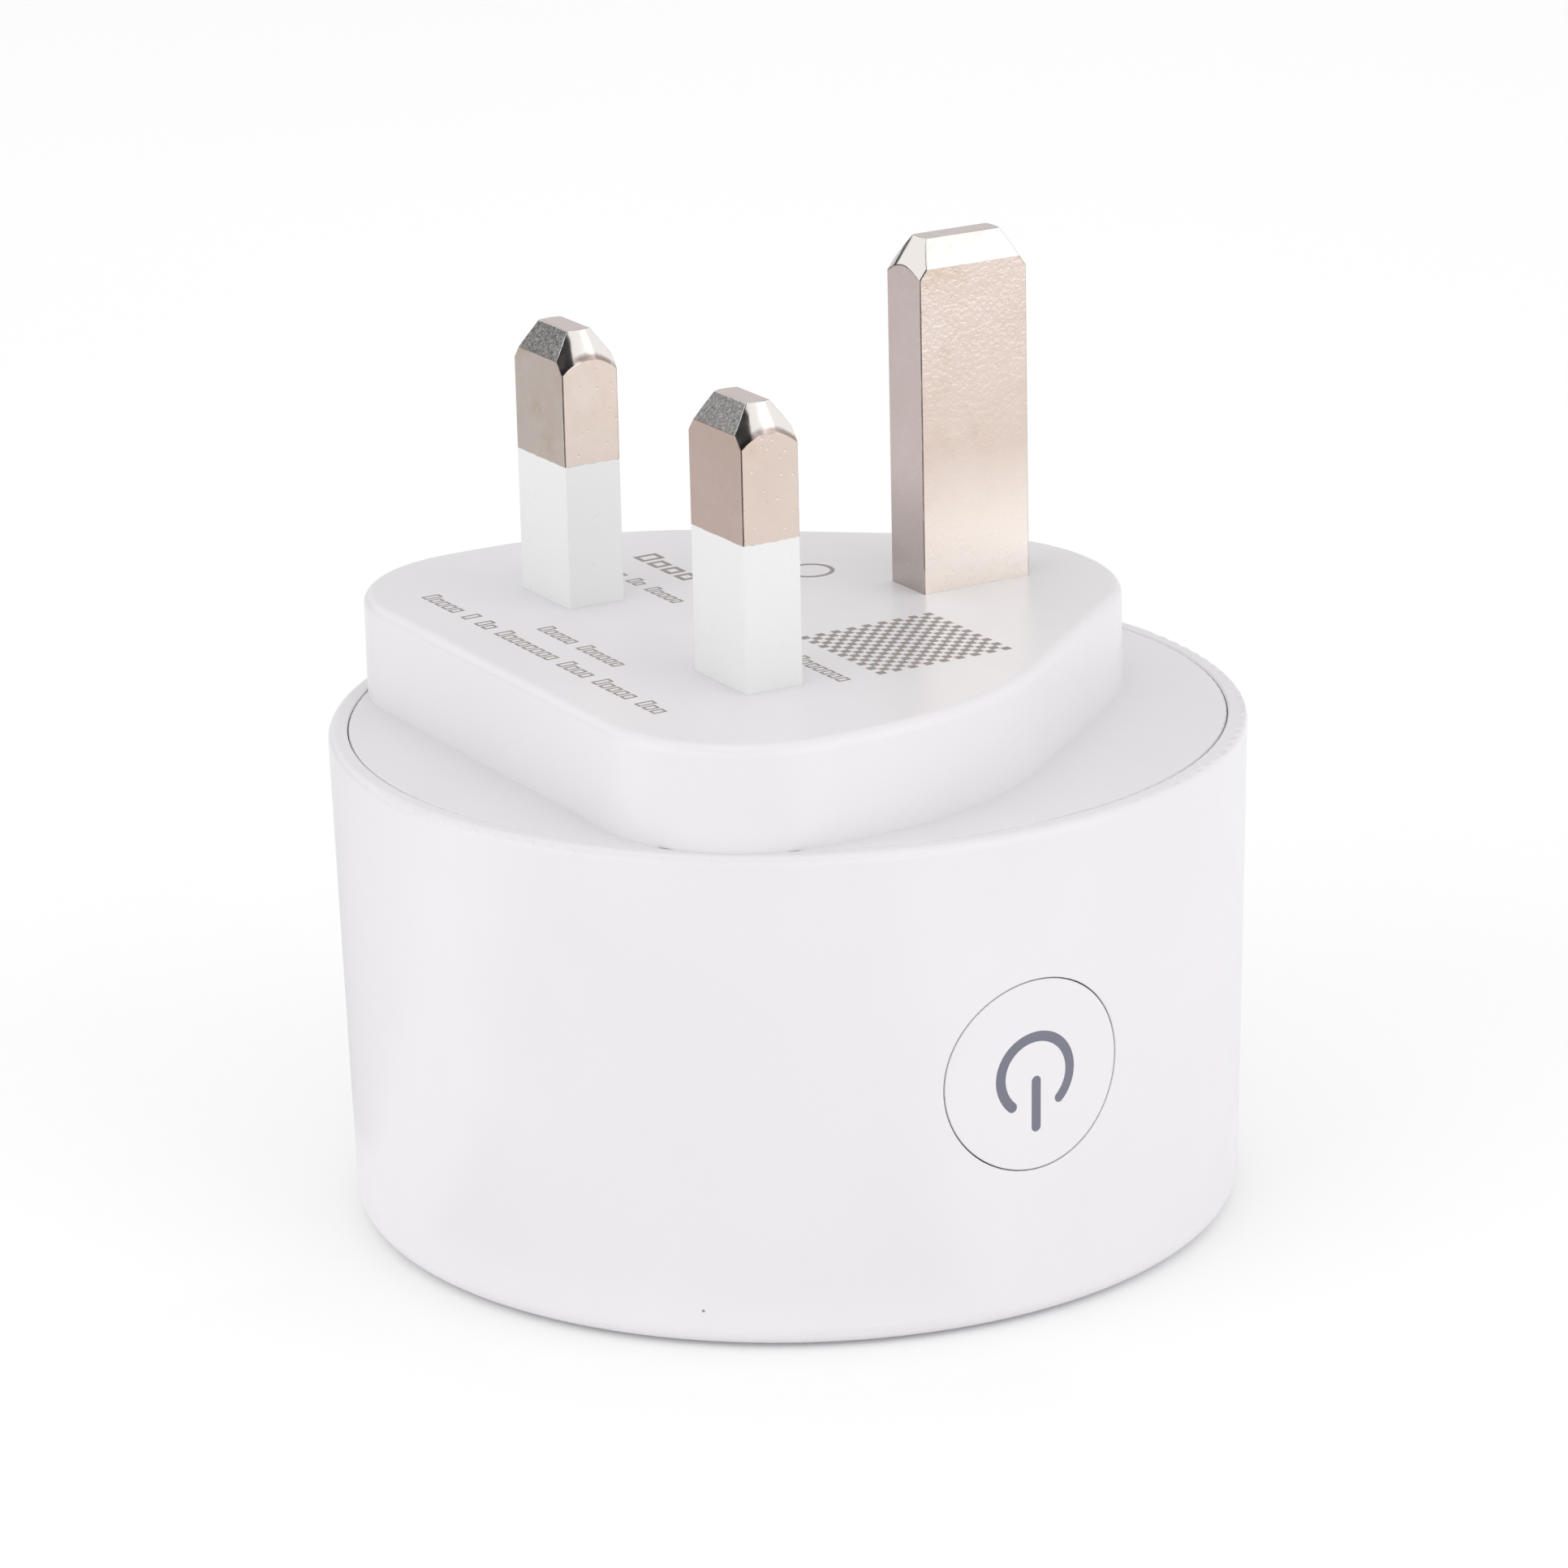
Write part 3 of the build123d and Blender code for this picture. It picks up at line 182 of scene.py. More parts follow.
# ---- node helpers ----
class Material:
    """A Principled material that is built up from procedural nodes in the object's own coordinates."""

    def __init__(self, name, **sockets):
        self.data = bpy.data.materials.new(name)
        self.data.use_nodes = True
        self.tree = self.data.node_tree
        self.shader = self.tree.nodes["Principled BSDF"]
        self.place = self.add("ShaderNodeTexCoord").outputs["Object"]
        for socket, value in sockets.items():
            self.shader.inputs[socket.replace("_", " ")].default_value = value

    def add(self, kind, **settings):
        node = self.tree.nodes.new(kind)
        for key, value in settings.items():
            setattr(node, key, value)
        return node

    def link(self, source, target):
        self.tree.links.new(source, target)

    def put(self, socket, source):
        """Drives one of the shader's sockets."""
        self.link(source, self.shader.inputs[socket])

    def scaled(self, scale):
        """The object's coordinates, scaled along X, Y and Z."""
        mapping = self.add("ShaderNodeMapping")
        mapping.inputs["Scale"].default_value = scale
        self.link(self.place, mapping.inputs["Vector"])
        return mapping.outputs["Vector"]

    def noise(self, scale, detail=3.0, rough=0.55, stretch=None):
        """Cloudy noise from 0 to 1; stretch scales the coordinates apart along X, Y and Z."""
        node = self.add("ShaderNodeTexNoise")
        node.inputs["Scale"].default_value = scale
        node.inputs["Detail"].default_value = detail
        node.inputs["Roughness"].default_value = rough
        self.link(self.scaled(stretch) if stretch else self.place, node.inputs["Vector"])
        return node.outputs["Fac"]

    def cells(self, scale):
        """Voronoi cells: Distance from each one's centre, and a random Color."""
        node = self.add("ShaderNodeTexVoronoi")
        node.inputs["Scale"].default_value = scale
        self.link(self.place, node.inputs["Vector"])
        return node

    def ranged(self, source, low, high, to_low=0.0, to_high=1.0):
        """The source's run from low to high, made to run between two other values and clamped there."""
        node = self.add("ShaderNodeMapRange")
        for key, value in zip(("From Min", "From Max", "To Min", "To Max"), (low, high, to_low, to_high)):
            node.inputs[key].default_value = value
        self.link(source, node.inputs["Value"])
        return node.outputs["Result"]

    def maths(self, operation, a, b=None):
        node = self.add("ShaderNodeMath", operation=operation)
        for index, value in enumerate((a, b)):
            if value is None:
                continue
            if isinstance(value, (int, float)):
                node.inputs[index].default_value = value
            else:
                self.link(value, node.inputs[index])
        return node.outputs["Value"]

    def product(self, first, *others):
        """All the values multiplied together."""
        for other in others:
            first = self.maths("MULTIPLY", first, other)
        return first

    def absolute(self, source):
        return self.maths("ABSOLUTE", source)

    def minus(self, a, b):
        return self.maths("SUBTRACT", a, b)

    def largest(self, first, *others):
        """The largest of the values."""
        for other in others:
            first = self.maths("MAXIMUM", first, other)
        return first

    def mixed(self, share, colour_a, colour_b):
        """The first colour, or the second where share is 1."""
        node = self.add("ShaderNodeMix", data_type="RGBA")
        for index, value in ((6, colour_a), (7, colour_b)):
            if isinstance(value, tuple):
                node.inputs[index].default_value = (*value, 1.0)
            else:
                self.link(value, node.inputs[index])
        self.link(share, node.inputs["Factor"])
        return node.outputs[2]

    def axis(self, source, name):
        """One axis, X, Y or Z, of a vector."""
        node = self.add("ShaderNodeSeparateXYZ")
        self.link(source, node.inputs["Vector"])
        return node.outputs[name]

    def normal(self):
        """The face's own direction, without smoothing and relief."""
        return self.add("ShaderNodeNewGeometry").outputs["True Normal"]

    def bump(self, height, depth):
        """Relief on top of what is there: a height that runs from 0 to 1, depth metres deep."""
        node = self.add("ShaderNodeBump")
        node.inputs["Distance"].default_value = depth
        self.link(height, node.inputs["Height"])
        if self.shader.inputs["Normal"].is_linked:
            self.link(self.shader.inputs["Normal"].links[0].from_socket, node.inputs["Normal"])
        self.put("Normal", node.outputs["Normal"])


def moulded(name, colour, tint, rough, relief=0.004, specks=0.0):
    """Moulded plastic: a slow drift of colour, the mould's fine grain, and now and then a speck of dust."""
    made = Material(name)
    drift = made.ranged(made.noise(MOULD_DRIFT, 2.0), 0.3, 0.7)
    paint = made.mixed(drift, colour, tint)
    if specks:
        cells = made.cells(specks)
        dot = made.ranged(cells.outputs["Distance"], *DUST_RADIUS, 1.0, 0.0)
        some = made.maths("GREATER_THAN", made.axis(cells.outputs["Color"], "X"), DUST_LEVEL)
        paint = made.mixed(made.product(dot, some), paint, DUST_COLOUR)
    made.put("Base Color", paint)
    made.put("Roughness", made.ranged(made.noise(MOULD_SHEEN), 0.3, 0.7, rough - 0.04, rough + 0.04))
    made.bump(made.noise(MOULD_GRAIN, 2.0), relief * MM)
    return made


# ---- floor, lights and camera ----
def add_mesh(name, shape):
    """A new object in the scene from a bmesh, in metres, in the frame's own coordinates."""
    mesh = bpy.data.meshes.new(name)
    bmesh.ops.recalc_face_normals(shape, faces=shape.faces)
    shape.to_mesh(mesh)
    shape.free()
    made = bpy.data.objects.new(name, mesh)
    bpy.context.scene.collection.objects.link(made)
    return made


def bearing(azimuth, elevation):
    """The direction from the object to a viewer; azimuth 0 is at -Y and 90 at +X."""
    a, e = math.radians(azimuth), math.radians(elevation)
    return Vector((math.sin(a) * math.cos(e), -math.cos(a) * math.cos(e), math.sin(e)))


def make_floor():
    """A pale disc that glows a little, so that it merges with the world."""
    shape = bmesh.new()
    bmesh.ops.create_circle(shape, cap_ends=True, segments=FLOOR_SIDES, radius=FLOOR_R)
    floor = add_mesh("floor", shape)
    floor.location.z = -FLOOR_DROP
    pale = Material("floor_pale", Roughness=0.9)
    pale.shader.inputs["Emission Color"].default_value = (1, 1, 1, 1)
    pale.shader.inputs["Emission Strength"].default_value = FLOOR_GLOW
    drift = pale.ranged(pale.noise(3.0, 2.0), 0.3, 0.7)
    pale.put("Base Color", pale.mixed(drift, (0.93, 0.93, 0.935), (0.95, 0.95, 0.95)))
    floor.data.materials.append(pale.data)


def make_lamp(name, azimuth, elevation, power):
    """A square soft box that faces the object."""
    data = bpy.data.lights.new(name, "AREA")
    data.shape = "SQUARE"
    data.size = LAMP_SIZE
    data.energy = power
    lamp = bpy.data.objects.new(name, data)
    back = bearing(azimuth, elevation)
    lamp.location = VIEW_AIM + back * LAMP_DISTANCE
    lamp.rotation_mode = "QUATERNION"
    lamp.rotation_quaternion = back.to_track_quat("Z", "Y")
    lamp.visible_camera = False
    bpy.context.scene.collection.objects.link(lamp)


def spread(ends, count):
    """Evenly spaced values from one end to the other."""
    return [ends[0] + (ends[1] - ends[0]) * k / count for k in range(count + 1)]


def stand_unseen(name, rows, shade):
    """A matt sheet through rows of points, which only gloss and metal reflect."""
    shape = bmesh.new()
    grid = [[shape.verts.new(point) for point in row] for row in rows]
    for low, high in zip(grid, grid[1:]):
        for k in range(len(low) - 1):
            shape.faces.new((low[k], low[k + 1], high[k + 1], high[k]))
    sheet = add_mesh(name, shape)
    sheet.visible_camera = False
    sheet.visible_diffuse = False
    sheet.visible_shadow = False
    cloth = moulded(name + "_cloth", (shade,) * 3, (shade * 1.1,) * 3, 0.9)
    sheet.data.materials.append(cloth.data)


def make_screen(name, azimuths, elevations, distance, shade):
    """Part of a sphere about the object."""
    rows = []
    for elevation in spread(elevations, SCREEN_ROWS):
        places = spread(azimuths, SCREEN_COLUMNS)
        rows.append([VIEW_AIM + bearing(place, elevation) * distance for place in places])
    stand_unseen(name, rows, shade)


def make_card(name, azimuths, reach, shade):
    """Part of a ring on the floor round the object."""
    lift = Vector((0, 0, CARD_HEIGHT))
    places = spread(azimuths, SCREEN_COLUMNS)
    stand_unseen(name, [[bearing(place, 0.0) * radius + lift for place in places] for radius in reach], shade)


def make_world():
    """Even white light from all round."""
    world = bpy.data.worlds.new("studio")
    bpy.context.scene.world = world
    world.use_nodes = True
    background = world.node_tree.nodes["Background"]
    background.inputs["Color"].default_value = (1.0, 1.0, 1.0, 1.0)
    background.inputs["Strength"].default_value = WORLD_STRENGTH


def make_camera():
    """The photo's camera, as fitted to the pins and the body."""
    data = bpy.data.cameras.new("camera")
    data.lens = LENS
    data.sensor_width = SENSOR_WIDTH
    data.clip_start = CLIP_START
    data.clip_end = CLIP_END
    camera = bpy.data.objects.new("camera", data)
    back = bearing(VIEW_AZIMUTH, VIEW_ELEVATION)
    camera.location = VIEW_AIM + back * VIEW_DISTANCE
    camera.rotation_mode = "QUATERNION"
    roll = Matrix.Rotation(math.radians(-VIEW_ROLL), 3, "Z").to_quaternion()
    camera.rotation_quaternion = back.to_track_quat("Z", "Y") @ roll
    bpy.context.scene.collection.objects.link(camera)
    bpy.context.scene.camera = camera


# ---- materials ----
def white_shell():
    """The body, the base and the button: white plastic, a shade cool."""
    return moulded("white_shell", (0.785, 0.768, 0.786), (0.77, 0.754, 0.772), 0.33, specks=130.0)


def sleeve_white():
    """White nylon, a little ragged and grimy where it meets the metal."""
    made = moulded("sleeve_white", (0.80, 0.80, 0.803), (0.785, 0.785, 0.79), 0.3, relief=0.002)
    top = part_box("line_pin_sleeve")[1].z
    height = made.axis(made.place, "Z")
    ragged = made.product(made.minus(made.noise(2600.0), 0.5), GRIME_RAGGED * MM)
    edge = made.maths("ADD", made.minus(height, top - GRIME_DEPTH * MM), ragged)
    grime = made.ranged(edge, 0.0, GRIME_FADE * MM, 0.0, 0.7)
    clean = made.shader.inputs["Base Color"].links[0].from_socket
    made.put("Base Color", made.mixed(grime, clean, GRIME_COLOUR))
    return made


def nickel_pin():
    """Nickel plate, with painted shade and highlights on single faces and painted dark lines along the edges.
    The masks run from 0 to 1 and come from the way a face looks and from where it is.
    """
    made = Material("nickel_pin", Metallic=1.0)
    middle = (-1.0 * MM, 1.0 * MM)
    normal = made.normal()
    across = made.absolute(made.axis(normal, "X"))
    along = made.absolute(made.axis(normal, "Y"))
    slant = made.absolute(made.axis(normal, "Z"))
    sideways = made.axis(made.place, "X")
    height = made.axis(made.place, "Z")
    bevel = made.ranged(slant, 0.3, 0.4)
    top = made.ranged(slant, 0.93, 0.98)
    broad = made.ranged(across, 0.93, 0.99)
    narrow = made.ranged(along, 0.72, 0.8)
    front = made.ranged(made.axis(normal, "Y"), -0.8, -0.72, 1.0, 0.0)
    earth = made.ranged(made.axis(made.place, "Y"), *middle)
    live = made.minus(1.0, earth)
    filed = made.product(bevel, narrow, live)

    # painted shade as dark lines: the long edges, the bevels' feet and the tops' rims, and the arches of the
    # live pins' bevels
    upright = made.ranged(slant, 0.05, 0.15, 1.0, 0.0)
    corner = made.ranged(made.maths("MINIMUM", across, along), 0.25, 0.5)
    foot = made.product(made.ranged(slant, 0.1, 0.2), made.ranged(slant, 0.32, 0.42, 1.0, 0.0))
    rim = made.product(made.ranged(slant, 0.8, 0.86), made.ranged(slant, 0.94, 0.98, 1.0, 0.0))
    low_pin, high_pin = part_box("neutral_pin")
    off_centre = made.absolute(made.minus(made.absolute(sideways), (low_pin.x + high_pin.x) / 2))
    inward = made.minus(LIVE_HALF_WIDTH * MM, off_centre)
    arch = made.ranged(inward, ARCH_LINE[0] * MM, ARCH_LINE[1] * MM, 1.0, 0.0)
    arch = made.product(arch, live, made.minus(bevel, filed))
    edge = made.largest(made.product(corner, upright), foot, rim, arch)

    # colour: tarnish and stains, plus painted shade and reflection set for each face
    tarnish = made.ranged(made.noise(190.0, 5.0, 0.62), 0.35, 0.7)
    tarnish_and_painted_shade = made.mixed(tarnish, NICKEL, NICKEL_TARNISHED)
    stain = made.ranged(made.noise(330.0, 5.0, 0.7), 0.56, 0.72, 0.0, 0.7)
    tarnish_and_painted_shade = made.mixed(stain, tarnish_and_painted_shade, NICKEL_STAINED)
    # painted shade: the right-hand live pin's faces and the earth pin's broad faces get tones of their own
    right = made.product(live, made.ranged(sideways, *middle, 0.0, 0.45))
    painted_broad_shade = made.largest(right, made.product(earth, 0.3))
    tarnish_and_painted_shade = made.mixed(made.product(painted_broad_shade, broad), tarnish_and_painted_shade, NICKEL_BROAD_SHADE)
    tarnish_and_painted_shade = made.mixed(made.product(right, front), tarnish_and_painted_shade, NICKEL_NARROW_SHADE)
    tarnish_and_painted_shade = made.mixed(made.product(earth, front, 0.5), tarnish_and_painted_shade, NICKEL_EARTH_NARROW_SHADE)
    # painted shade on the earth pin's foot, lighter on the broad faces and darker on the narrow ones
    low_earth = made.product(made.ranged(height, LOW_HEIGHTS[0] * MM, LOW_HEIGHTS[1] * MM, 1.0, 0.0), earth)
    tarnish_and_painted_shade = made.mixed(made.product(low_earth, broad), tarnish_and_painted_shade, NICKEL_LOW_BROAD_SHADE)
    tarnish_and_painted_shade = made.mixed(made.product(low_earth, narrow), tarnish_and_painted_shade, NICKEL_LOW_NARROW_SHADE)
    # the bevels lighter, partly from a cleaner polish and partly a painted highlight; the tops in a painted
    # shade of their own
    bright = made.mixed(bevel, tarnish_and_painted_shade, NICKEL_BEVEL_POLISH_AND_HIGHLIGHT)
    bright = made.mixed(top, bright, NICKEL_TOP_SHADE)
    # the live pins' filed bevels darkened, partly by the filing's texture and partly by a painted dark
    # reflection, less so on the right-hand pin
    filing_and_painted_shade = made.ranged(made.noise(5200.0, 5.0, 0.8), 0.4, 0.6, 0.95, 0.35)
    filing_and_painted_shade = made.product(filing_and_painted_shade, made.minus(1.0, made.product(right, 0.45)))
    bright = made.mixed(made.product(filing_and_painted_shade, filed), bright, NICKEL_FILED_SHADE)
    # the dark lines of painted shade, broken up by noise
    broken = made.ranged(made.noise(700.0, 2.0), 0.35, 0.55, 0.3, 0.8)
    made.put("Base Color", made.mixed(made.product(edge, broken), bright, NICKEL_EDGE_SHADE))

    # gloss: satin flats and polished bevels
    satin = made.ranged(made.noise(900.0), 0.3, 0.7, 0.25, 0.34)
    polish = made.ranged(made.noise(1500.0), 0.3, 0.7, 0.08, 0.16)
    gloss = made.add("ShaderNodeMix", data_type="FLOAT")
    made.link(bevel, gloss.inputs["Factor"])
    made.link(satin, gloss.inputs[2])
    made.link(polish, gloss.inputs[3])
    made.put("Roughness", gloss.outputs[0])

    # relief: brushed flats, filed bevels, and the earth pin's rough and pitted broad face
    brushing = made.noise(1.0, 3.0, 0.6, (8000.0, 8000.0, 300.0))
    made.bump(made.product(brushing, made.minus(1.0, bevel)), BRUSHING_DEPTH * MM)
    made.bump(made.product(made.noise(4200.0, 5.0, 0.75), filed), FILING_DEPTH * MM)
    upper = made.ranged(height, ROUGH_HEIGHTS[0] * MM, ROUGH_HEIGHTS[1] * MM, 0.15, 1.0)
    skin = made.ranged(made.noise(3200.0, 2.0, 0.5), 0.4, 0.56)
    made.bump(made.product(upper, earth, broad, skin), ROUGH_DEPTH * MM)
    pits = made.cells(3300.0)
    hollow = made.ranged(pits.outputs["Distance"], 0.12, 0.38, 1.0, 0.0)
    share = made.ranged(height, PIT_HEIGHTS[0] * MM, PIT_HEIGHTS[1] * MM, *PIT_SHARES)
    share = made.product(share, made.ranged(earth, 0.0, 1.0, LIVE_PITS, 1.0))
    picked = made.maths("LESS_THAN", made.axis(pits.outputs["Color"], "X"), share)
    made.bump(made.minus(1.0, made.product(picked, broad, hollow)), PIT_DEPTH * MM)
    return made


def icon_grey():
    """The diffuser behind the button's sign."""
    return moulded("icon_grey", (0.165, 0.168, 0.215), (0.185, 0.19, 0.235), 0.35, relief=0.001)


def plain(name, colour, tint, rough):
    """Any other plastic."""
    return lambda: moulded(name, colour, tint, rough)


def metal(name, colour, tint, rough):
    """Rolled or plated metal with a drawn grain."""

    def make():
        made = Material(name, Metallic=1.0)
        drift = made.ranged(made.noise(300.0), 0.35, 0.7)
        made.put("Base Color", made.mixed(drift, colour, tint))
        grain = made.noise(1.0, 2.0, 0.5, METAL_GRAIN)
        made.put("Roughness", made.ranged(grain, 0.3, 0.7, rough - 0.06, rough + 0.08))
        made.bump(grain, METAL_RELIEF * MM)
        return made

    return make


def board(name, mask, track):
    """Solder mask over raised copper tracks, with plated vias."""
    made = Material(name)
    squares = made.cells(1100.0)
    squares.distance = "CHEBYCHEV"
    lane = made.ranged(squares.outputs["Distance"], 0.4, 0.44)
    via = made.ranged(made.cells(520.0).outputs["Distance"], 0.09, 0.12, 1.0, 0.0)
    made.put("Base Color", made.mixed(via, made.mixed(lane, mask, track), (0.7, 0.67, 0.58)))
    made.put("Metallic", via)
    made.put("Roughness", made.ranged(made.noise(900.0), 0.3, 0.7, 0.2, 0.34))
    made.bump(lane, TRACK_HEIGHT * MM)
    return made


def capacitor_sleeve():
    """Dark heat-shrink sleeve on the sides, and the bare can on the flat ends."""
    made = Material("capacitor_sleeve")
    can = made.ranged(made.absolute(made.axis(made.normal(), "Z")), 0.9, 0.98)
    drift = made.ranged(made.noise(300.0), 0.3, 0.7)
    sleeve = made.mixed(drift, (0.01, 0.012, 0.03), (0.015, 0.018, 0.045))
    made.put("Base Color", made.mixed(can, sleeve, (0.74, 0.74, 0.75)))
    made.put("Metallic", can)
    made.put("Roughness", made.ranged(made.noise(1200.0), 0.3, 0.7, 0.22, 0.34))
    made.bump(made.noise(1.0, 3.0, 0.6, (5000.0, 5000.0, 600.0)), 0.006 * MM)
    return made


def lengthwise(made, node):
    """The place along the longest side of a node's box, in metres and as a share of that side."""
    low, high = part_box(node)
    size = high - low
    length = max(range(3), key=lambda k: size[k])
    place = made.axis(made.place, "XYZ"[length])
    return place, made.ranged(place, low[length], high[length])


def coil_copper():
    """Enamelled wire in close turns along the winding, between the flanges of a dark bobbin."""
    made = Material("coil_copper")
    place, share = lengthwise(made, "relay_coil")
    from_middle = made.absolute(made.minus(share, 0.5))
    wound = made.ranged(from_middle, COIL_FLANGE, COIL_FLANGE + 0.004, 1.0, 0.0)
    drift = made.ranged(made.noise(600.0), 0.3, 0.7)
    wire = made.mixed(drift, (0.5, 0.14, 0.045), (0.4, 0.1, 0.035))
    made.put("Base Color", made.mixed(wound, (0.03, 0.03, 0.032), wire))
    made.put("Metallic", wound)
    made.put("Roughness", made.ranged(made.noise(900.0), 0.3, 0.7, 0.28, 0.38))
    turns = made.product(place, 2 * math.pi / (COIL_PITCH * MM))
    ridges = made.ranged(made.maths("SINE", turns), -1.0, 1.0)
    made.bump(made.product(ridges, wound), COIL_RIDGE * MM)
    return made


def resistor_body():
    """Ceramic coat with a few plain colour bands."""
    made = Material("resistor_body")
    share = lengthwise(made, "fusible_resistor")[1]
    drift = made.ranged(made.noise(500.0), 0.3, 0.7)
    paint = made.mixed(drift, (0.08, 0.22, 0.12), (0.1, 0.26, 0.14))
    for middle, colour in RESISTOR_BANDS:
        off = made.absolute(made.minus(share, middle))
        paint = made.mixed(made.ranged(off, *BAND_EDGE, 1.0, 0.0), paint, colour)
    made.put("Base Color", paint)
    made.put("Roughness", made.ranged(made.noise(900.0), 0.3, 0.7, 0.32, 0.42))
    made.bump(made.noise(2400.0), 0.01 * MM)
    return made


# material slot: what makes its material
MATERIALS = {
    "white_shell": white_shell,
    "sleeve_white": sleeve_white,
    "nickel_pin": nickel_pin,
    "icon_grey": icon_grey,
    "grey_inner": plain("grey_inner", (0.10, 0.105, 0.115), (0.12, 0.125, 0.135), 0.5),
    "shutter_red": plain("shutter_red", (0.42, 0.02, 0.015), (0.36, 0.018, 0.014), 0.38),
    "spring_steel": metal("spring_steel", (0.62, 0.62, 0.63), (0.52, 0.52, 0.54), 0.25),
    "copper_alloy": metal("copper_alloy", (0.75, 0.46, 0.2), (0.62, 0.36, 0.16), 0.3),
    "screw_steel": metal("screw_steel", (0.55, 0.56, 0.58), (0.46, 0.47, 0.49), 0.3),
    "board_green": lambda: board("board_green", (0.01, 0.08, 0.03), (0.02, 0.16, 0.06)),
    "board_black": lambda: board("board_black", (0.008, 0.01, 0.014), (0.02, 0.024, 0.03)),
    "capacitor_sleeve": capacitor_sleeve,
    "ferrite": plain("ferrite", (0.03, 0.03, 0.032), (0.045, 0.045, 0.047), 0.7),
    "varistor_blue": plain("varistor_blue", (0.01, 0.07, 0.3), (0.012, 0.09, 0.36), 0.22),
    "film_yellow": plain("film_yellow", (0.75, 0.45, 0.02), (0.7, 0.4, 0.02), 0.28),
    "resistor_body": resistor_body,
    "chip_black": plain("chip_black", (0.012, 0.012, 0.014), (0.018, 0.018, 0.02), 0.55),
    "shield_tin": metal("shield_tin", (0.6, 0.61, 0.62), (0.5, 0.51, 0.52), 0.3),
    "gold_track": metal("gold_track", (0.85, 0.6, 0.2), (0.75, 0.5, 0.16), 0.25),
    "relay_blue": plain("relay_blue", (0.01, 0.03, 0.12), (0.013, 0.036, 0.14), 0.3),
    "coil_copper": coil_copper,
    "relay_iron": metal("relay_iron", (0.45, 0.45, 0.46), (0.38, 0.38, 0.4), 0.35),
    "led_lens": plain("led_lens", (0.8, 0.78, 0.6), (0.75, 0.73, 0.56), 0.15),
    "switch_black": plain("switch_black", (0.015, 0.015, 0.017), (0.02, 0.02, 0.022), 0.45),
    "tinned_copper": metal("tinned_copper", (0.62, 0.61, 0.58), (0.54, 0.53, 0.5), 0.28),
}


def dress_nodes():
    """Every CAD node in the material that the record names."""
    made = {slot: make() for slot, make in MATERIALS.items()}
    for part in frame["record"]["subparts"]:
        mesh = nodes[part["node"]].data
        mesh.materials.clear()
        mesh.materials.append(made[part["material_slot"]].data)
    return made


# ---- printed marks: placeholders with no lettering ----
def print_heights():
    """The bottom and the top of the ink, in millimetres."""
    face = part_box("back_cover")[1].z / MM
    return face - PRINT_SINK, face + PRINT_PROUD


def print_loop(shape, outer, inner):
    """A band of ink between two outlines with as many points each."""
    low, high = print_heights()
    rows = []
    for out, into in zip(outer, inner):
        places = ((*out, low), (*out, high), (*into, high), (*into, low))
        rows.append([shape.verts.new(Vector(place) * MM) for place in places])
    for k, row in enumerate(rows):
        after = rows[(k + 1) % len(rows)]
        for i in range(4):
            j = (i + 1) % 4
            shape.faces.new((row[i], after[i], after[j], row[j]))


def corners(x0, x1, y0, y1):
    """A rectangle's outline, anticlockwise."""
    return (x0, y0), (x1, y0), (x1, y1), (x0, y1)


def print_line(shape, x0, x1, y0, height, stroke, words):
    """A line of hollow boxes in words, the first box of each word taller."""
    step = (x1 - x0) / (sum(words) + len(words) - 1)
    wide = step * BOX_SHARE
    x = x0
    for count in words:
        for k in range(count):
            y1 = y0 + (height if k == 0 else height * BOX_SHARE)
            inside = corners(x + stroke, x + wide - stroke, y0 + stroke, y1 - stroke)
            print_loop(shape, corners(x, x + wide, y0, y1), inside)
            x += step
        x += step


def circle(x, y, radius):
    """A ring's outline, anticlockwise."""
    turns = [2 * math.pi * k / RING_SIDES for k in range(RING_SIDES)]
    return [(x + radius * math.cos(turn), y + radius * math.sin(turn)) for turn in turns]


def print_square(shape, x, y, size):
    """A solid square of ink."""
    low, high = print_heights()
    outline = corners(x, x + size, y, y + size)
    feet = [shape.verts.new(Vector((*place, low)) * MM) for place in outline]
    tops = [shape.verts.new(Vector((*place, high)) * MM) for place in outline]
    shape.faces.new(tops)
    shape.faces.new(feet[::-1])
    for k in range(4):
        n = (k + 1) % 4
        shape.faces.new((feet[k], feet[n], tops[n], tops[k]))


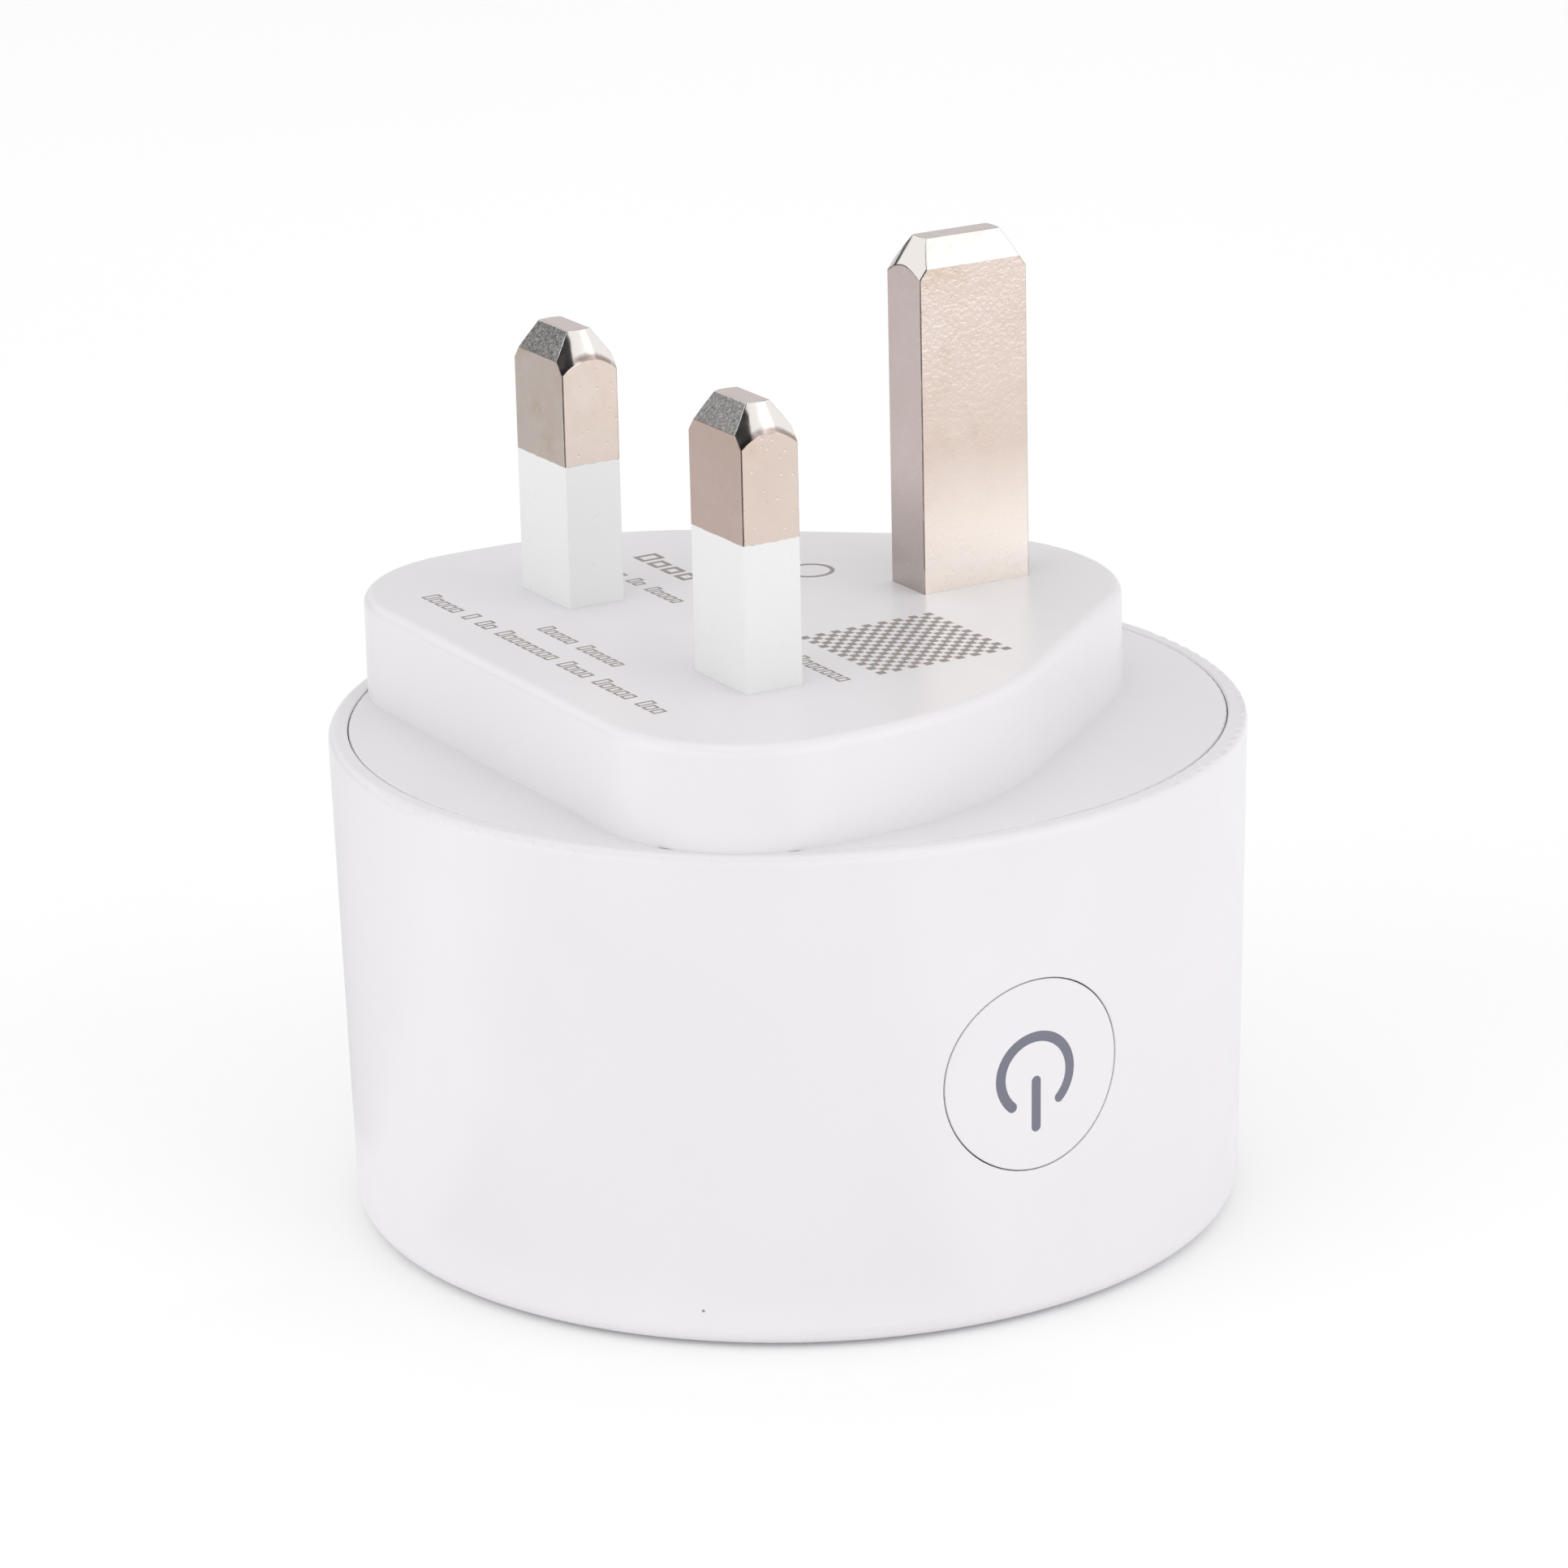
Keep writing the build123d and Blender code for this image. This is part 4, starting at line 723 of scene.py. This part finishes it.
def make_printed_marks():
    """Lines of boxes, rings and a plain chequered square, where the photo has its print."""
    shape = bmesh.new()
    for line in PRINT_LINES:
        print_line(shape, *line)
    for x, y, radius in PRINT_RINGS:
        print_loop(shape, circle(x, y, radius), circle(x, y, radius - RING_STROKE))
    cell = CHEQUER_SIZE / CHEQUER_COUNT
    for row in range(CHEQUER_COUNT):
        for column in range(row % 2, CHEQUER_COUNT, 2):
            x, y = CHEQUER_CORNER[0] + column * cell, CHEQUER_CORNER[1] + row * cell
            print_square(shape, x, y, cell * CHEQUER_SHARE)
    marks = add_mesh("printed_marks", shape)
    ink = moulded("print_ink", (0.27, 0.235, 0.22), (0.33, 0.29, 0.27), 0.5, relief=0.001)
    marks.data.materials.append(ink.data)
    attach(marks, "housing")


# ---- the shutter's spring, which shortens as the shutter opens; here it is built as one fixed coil ----
def wire_ring(shape, centre, out):
    """One ring of points round the wire, at a point of the coil."""
    ring = []
    for k in range(WIRE_SIDES):
        angle = 2 * math.pi * k / WIRE_SIDES
        off = out * math.cos(angle) + Vector((0, math.sin(angle), 0))
        ring.append(shape.verts.new(centre + off * WIRE_R))
    return ring


def make_spring(material):
    """A coil along Y with closed end turns, in the box of the CAD spring."""
    low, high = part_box("shutter_spring")
    middle = (low + high) / 2
    radius = (high.x - low.x) / 2 - WIRE_R
    free = high.y - low.y - 2 * WIRE_R - 2 * CLOSED_TURNS * CLOSED_PITCH
    shape = bmesh.new()
    rings = []
    for step in range(int(TURNS * STEPS_PER_TURN) + 1):
        turn = step / STEPS_PER_TURN
        opened = min(max((turn - CLOSED_TURNS) / (TURNS - 2 * CLOSED_TURNS), 0.0), 1.0)
        closed = min(turn, CLOSED_TURNS) + max(turn - (TURNS - CLOSED_TURNS), 0.0)
        angle = 2 * math.pi * turn
        out = Vector((math.cos(angle), 0, math.sin(angle)))
        along = low.y + WIRE_R + closed * CLOSED_PITCH + opened * free
        rings.append(wire_ring(shape, Vector((middle.x, along, middle.z)) + out * radius, out))
    for before, after in zip(rings, rings[1:]):
        for k in range(WIRE_SIDES):
            n = (k + 1) % WIRE_SIDES
            shape.faces.new((before[k], before[n], after[n], after[k]))
    shape.faces.new(rings[0])
    shape.faces.new(rings[-1][::-1])
    spring = add_mesh("return_spring", shape)
    for face in spring.data.polygons:
        face.use_smooth = True
    spring.data.materials.append(material.data)
    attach(spring, "housing")
    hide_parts("shutter_spring")
    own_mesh(spring)


make_floor()
make_world()
make_camera()
for lamp in LAMPS:
    make_lamp(*lamp)
for screen in SCREENS:
    make_screen(*screen)
for card in CARDS:
    make_card(*card)
materials = dress_nodes()
make_printed_marks()
make_spring(materials["spring_steel"])
bpy.context.scene.view_settings.view_transform = "Standard"
